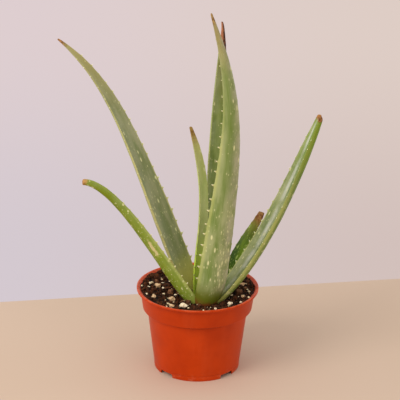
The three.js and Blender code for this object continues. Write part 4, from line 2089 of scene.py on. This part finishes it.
@dataclass
class Studio:
    """The pale floor, the soft light and the camera. Lengths in metres, angles in degrees."""

    camera_aside: float = 0.001
    camera_reach: float = 1.5
    camera_pitch: float = 20.93
    camera_roll: float = 0.8
    camera_lens: float = 159.3
    target_height: float = 0.153
    floor_back: float = 0.155
    floor_skew: float = 0.179
    floor_half: float = 4.0
    floor_front: float = -6.0
    sky_left: Colour = srgb(222, 206, 208)
    sky_right: Colour = srgb(222, 205, 197)
    low_left: Colour = srgb(212, 201, 208)
    low_right: Colour = srgb(210, 192, 187)
    sky_light: Colour = (0.86, 0.855, 0.83)
    lights: tuple[SoftLight, ...] = (
        SoftLight("key_light", (-1.3, -1.1, 1.4), (0.0, 0.0, 0.12), 1.2, 22.5, colour=(1.0, 0.98, 0.93)),
        SoftLight("fill_light", (1.3, -1.5, 0.8), (0.0, 0.0, 0.15), 1.4, 3.5, colour=(1.0, 0.97, 0.92)),
    )
    floor_finish: Backdrop = field(
        default_factory=lambda: Backdrop("floor_paint", srgb(205, 178, 158), srgb(200, 173, 152))
    )

    def build(self, effects: Effects) -> None:
        """Lays the floor, hangs the lights and sets up the camera.

        Args:
            effects: The shared groups.
        """
        self._floor(effects)
        self._sky()
        for light in self.lights:
            light.build()
        self._camera()
        bpy.context.scene.view_settings.view_transform = "Standard"

    def _floor(self, effects: Effects) -> None:
        """Lays the floor, which ends along a slanting line behind the object.

        Args:
            effects: The shared groups.
        """
        Bench.clear()
        bpy.ops.mesh.primitive_plane_add(size=2 * self.floor_half)
        floor = bpy.context.object
        floor.name = "studio_floor"
        for corner in floor.data.vertices:
            back = corner.co.y > 0
            corner.co.y = self.floor_back + self.floor_skew * corner.co.x if back else self.floor_front
        floor.data.materials.append(self.floor_finish.build(effects))

    def _sky(self) -> None:
        """Surrounds the scene with soft pale light, slightly warmer on the right."""
        world = bpy.data.worlds.new("studio_air")
        world.use_nodes = True
        bpy.context.scene.world = world
        work = Wiring(world.node_tree)
        world.node_tree.nodes.clear()
        facing = work.split(work.node("ShaderNodeTexCoord").outputs["Generated"])
        rightward = work.band(facing[0], -0.12, 0.12)
        above = work.blend(rightward, self.sky_left, self.sky_right)
        beneath = work.blend(rightward, self.low_left, self.low_right)
        colour = work.blend(work.band(facing[2], -0.26, -0.39), above, beneath)
        seen = work.node("ShaderNodeLightPath").outputs["Is Camera Ray"]
        shade = work.node("ShaderNodeBackground")
        work.feed(shade.inputs[0], work.blend(seen, self.sky_light, colour))
        output = work.node("ShaderNodeOutputWorld")
        work.feed(output.inputs[0], shade.outputs[0])

    def _camera(self) -> None:
        """Sets the camera at its reach, looking down at the target with a slight roll."""
        pitch = math.radians(self.camera_pitch)
        Bench.clear()
        bpy.ops.object.camera_add()
        camera = bpy.context.object
        camera.name = "studio_camera"
        camera.data.lens = self.camera_lens
        camera.data.sensor_width = 36.0
        camera.data.clip_start, camera.data.clip_end = 0.05, 50.0
        back = Vector((0.0, -math.cos(pitch), math.sin(pitch))) * self.camera_reach
        camera.location = Frame.axis + Vector((self.camera_aside, 0.0, self.target_height)) + back
        roll = Matrix.Rotation(math.radians(self.camera_roll), 3, "Z")
        camera.rotation_euler = (Matrix.Rotation(math.pi / 2 - pitch, 3, "X") @ roll).to_euler()
        bpy.context.scene.camera = camera


def main() -> None:
    """Builds the studio, the pot, the mix, the grains and the plant in order."""
    logging.basicConfig(level=logging.INFO, format="%(name)s: %(message)s")
    effects = Effects()
    Studio().build(effects)
    present(NurseryPot().build(effects), "pot_plastic", "pot")
    mix_sizes = PottingMix()
    present(mix_sizes.bed(effects), "potting_mix", "potting_mix")
    crumbs, specks, fibres = mix_sizes.loose(effects)
    present(crumbs, "potting_mix")
    present(specks, "perlite")
    present(fibres, "bark")
    for grain, kind, node in GrainSet().build(effects):
        present(grain, kind.value, node)
    plant = Aloe()
    plant.dress_stem(effects)
    for leaf, node in plant.build(effects):
        present(leaf, "leaf_skin", node)


if __name__ == "__main__":
    main()
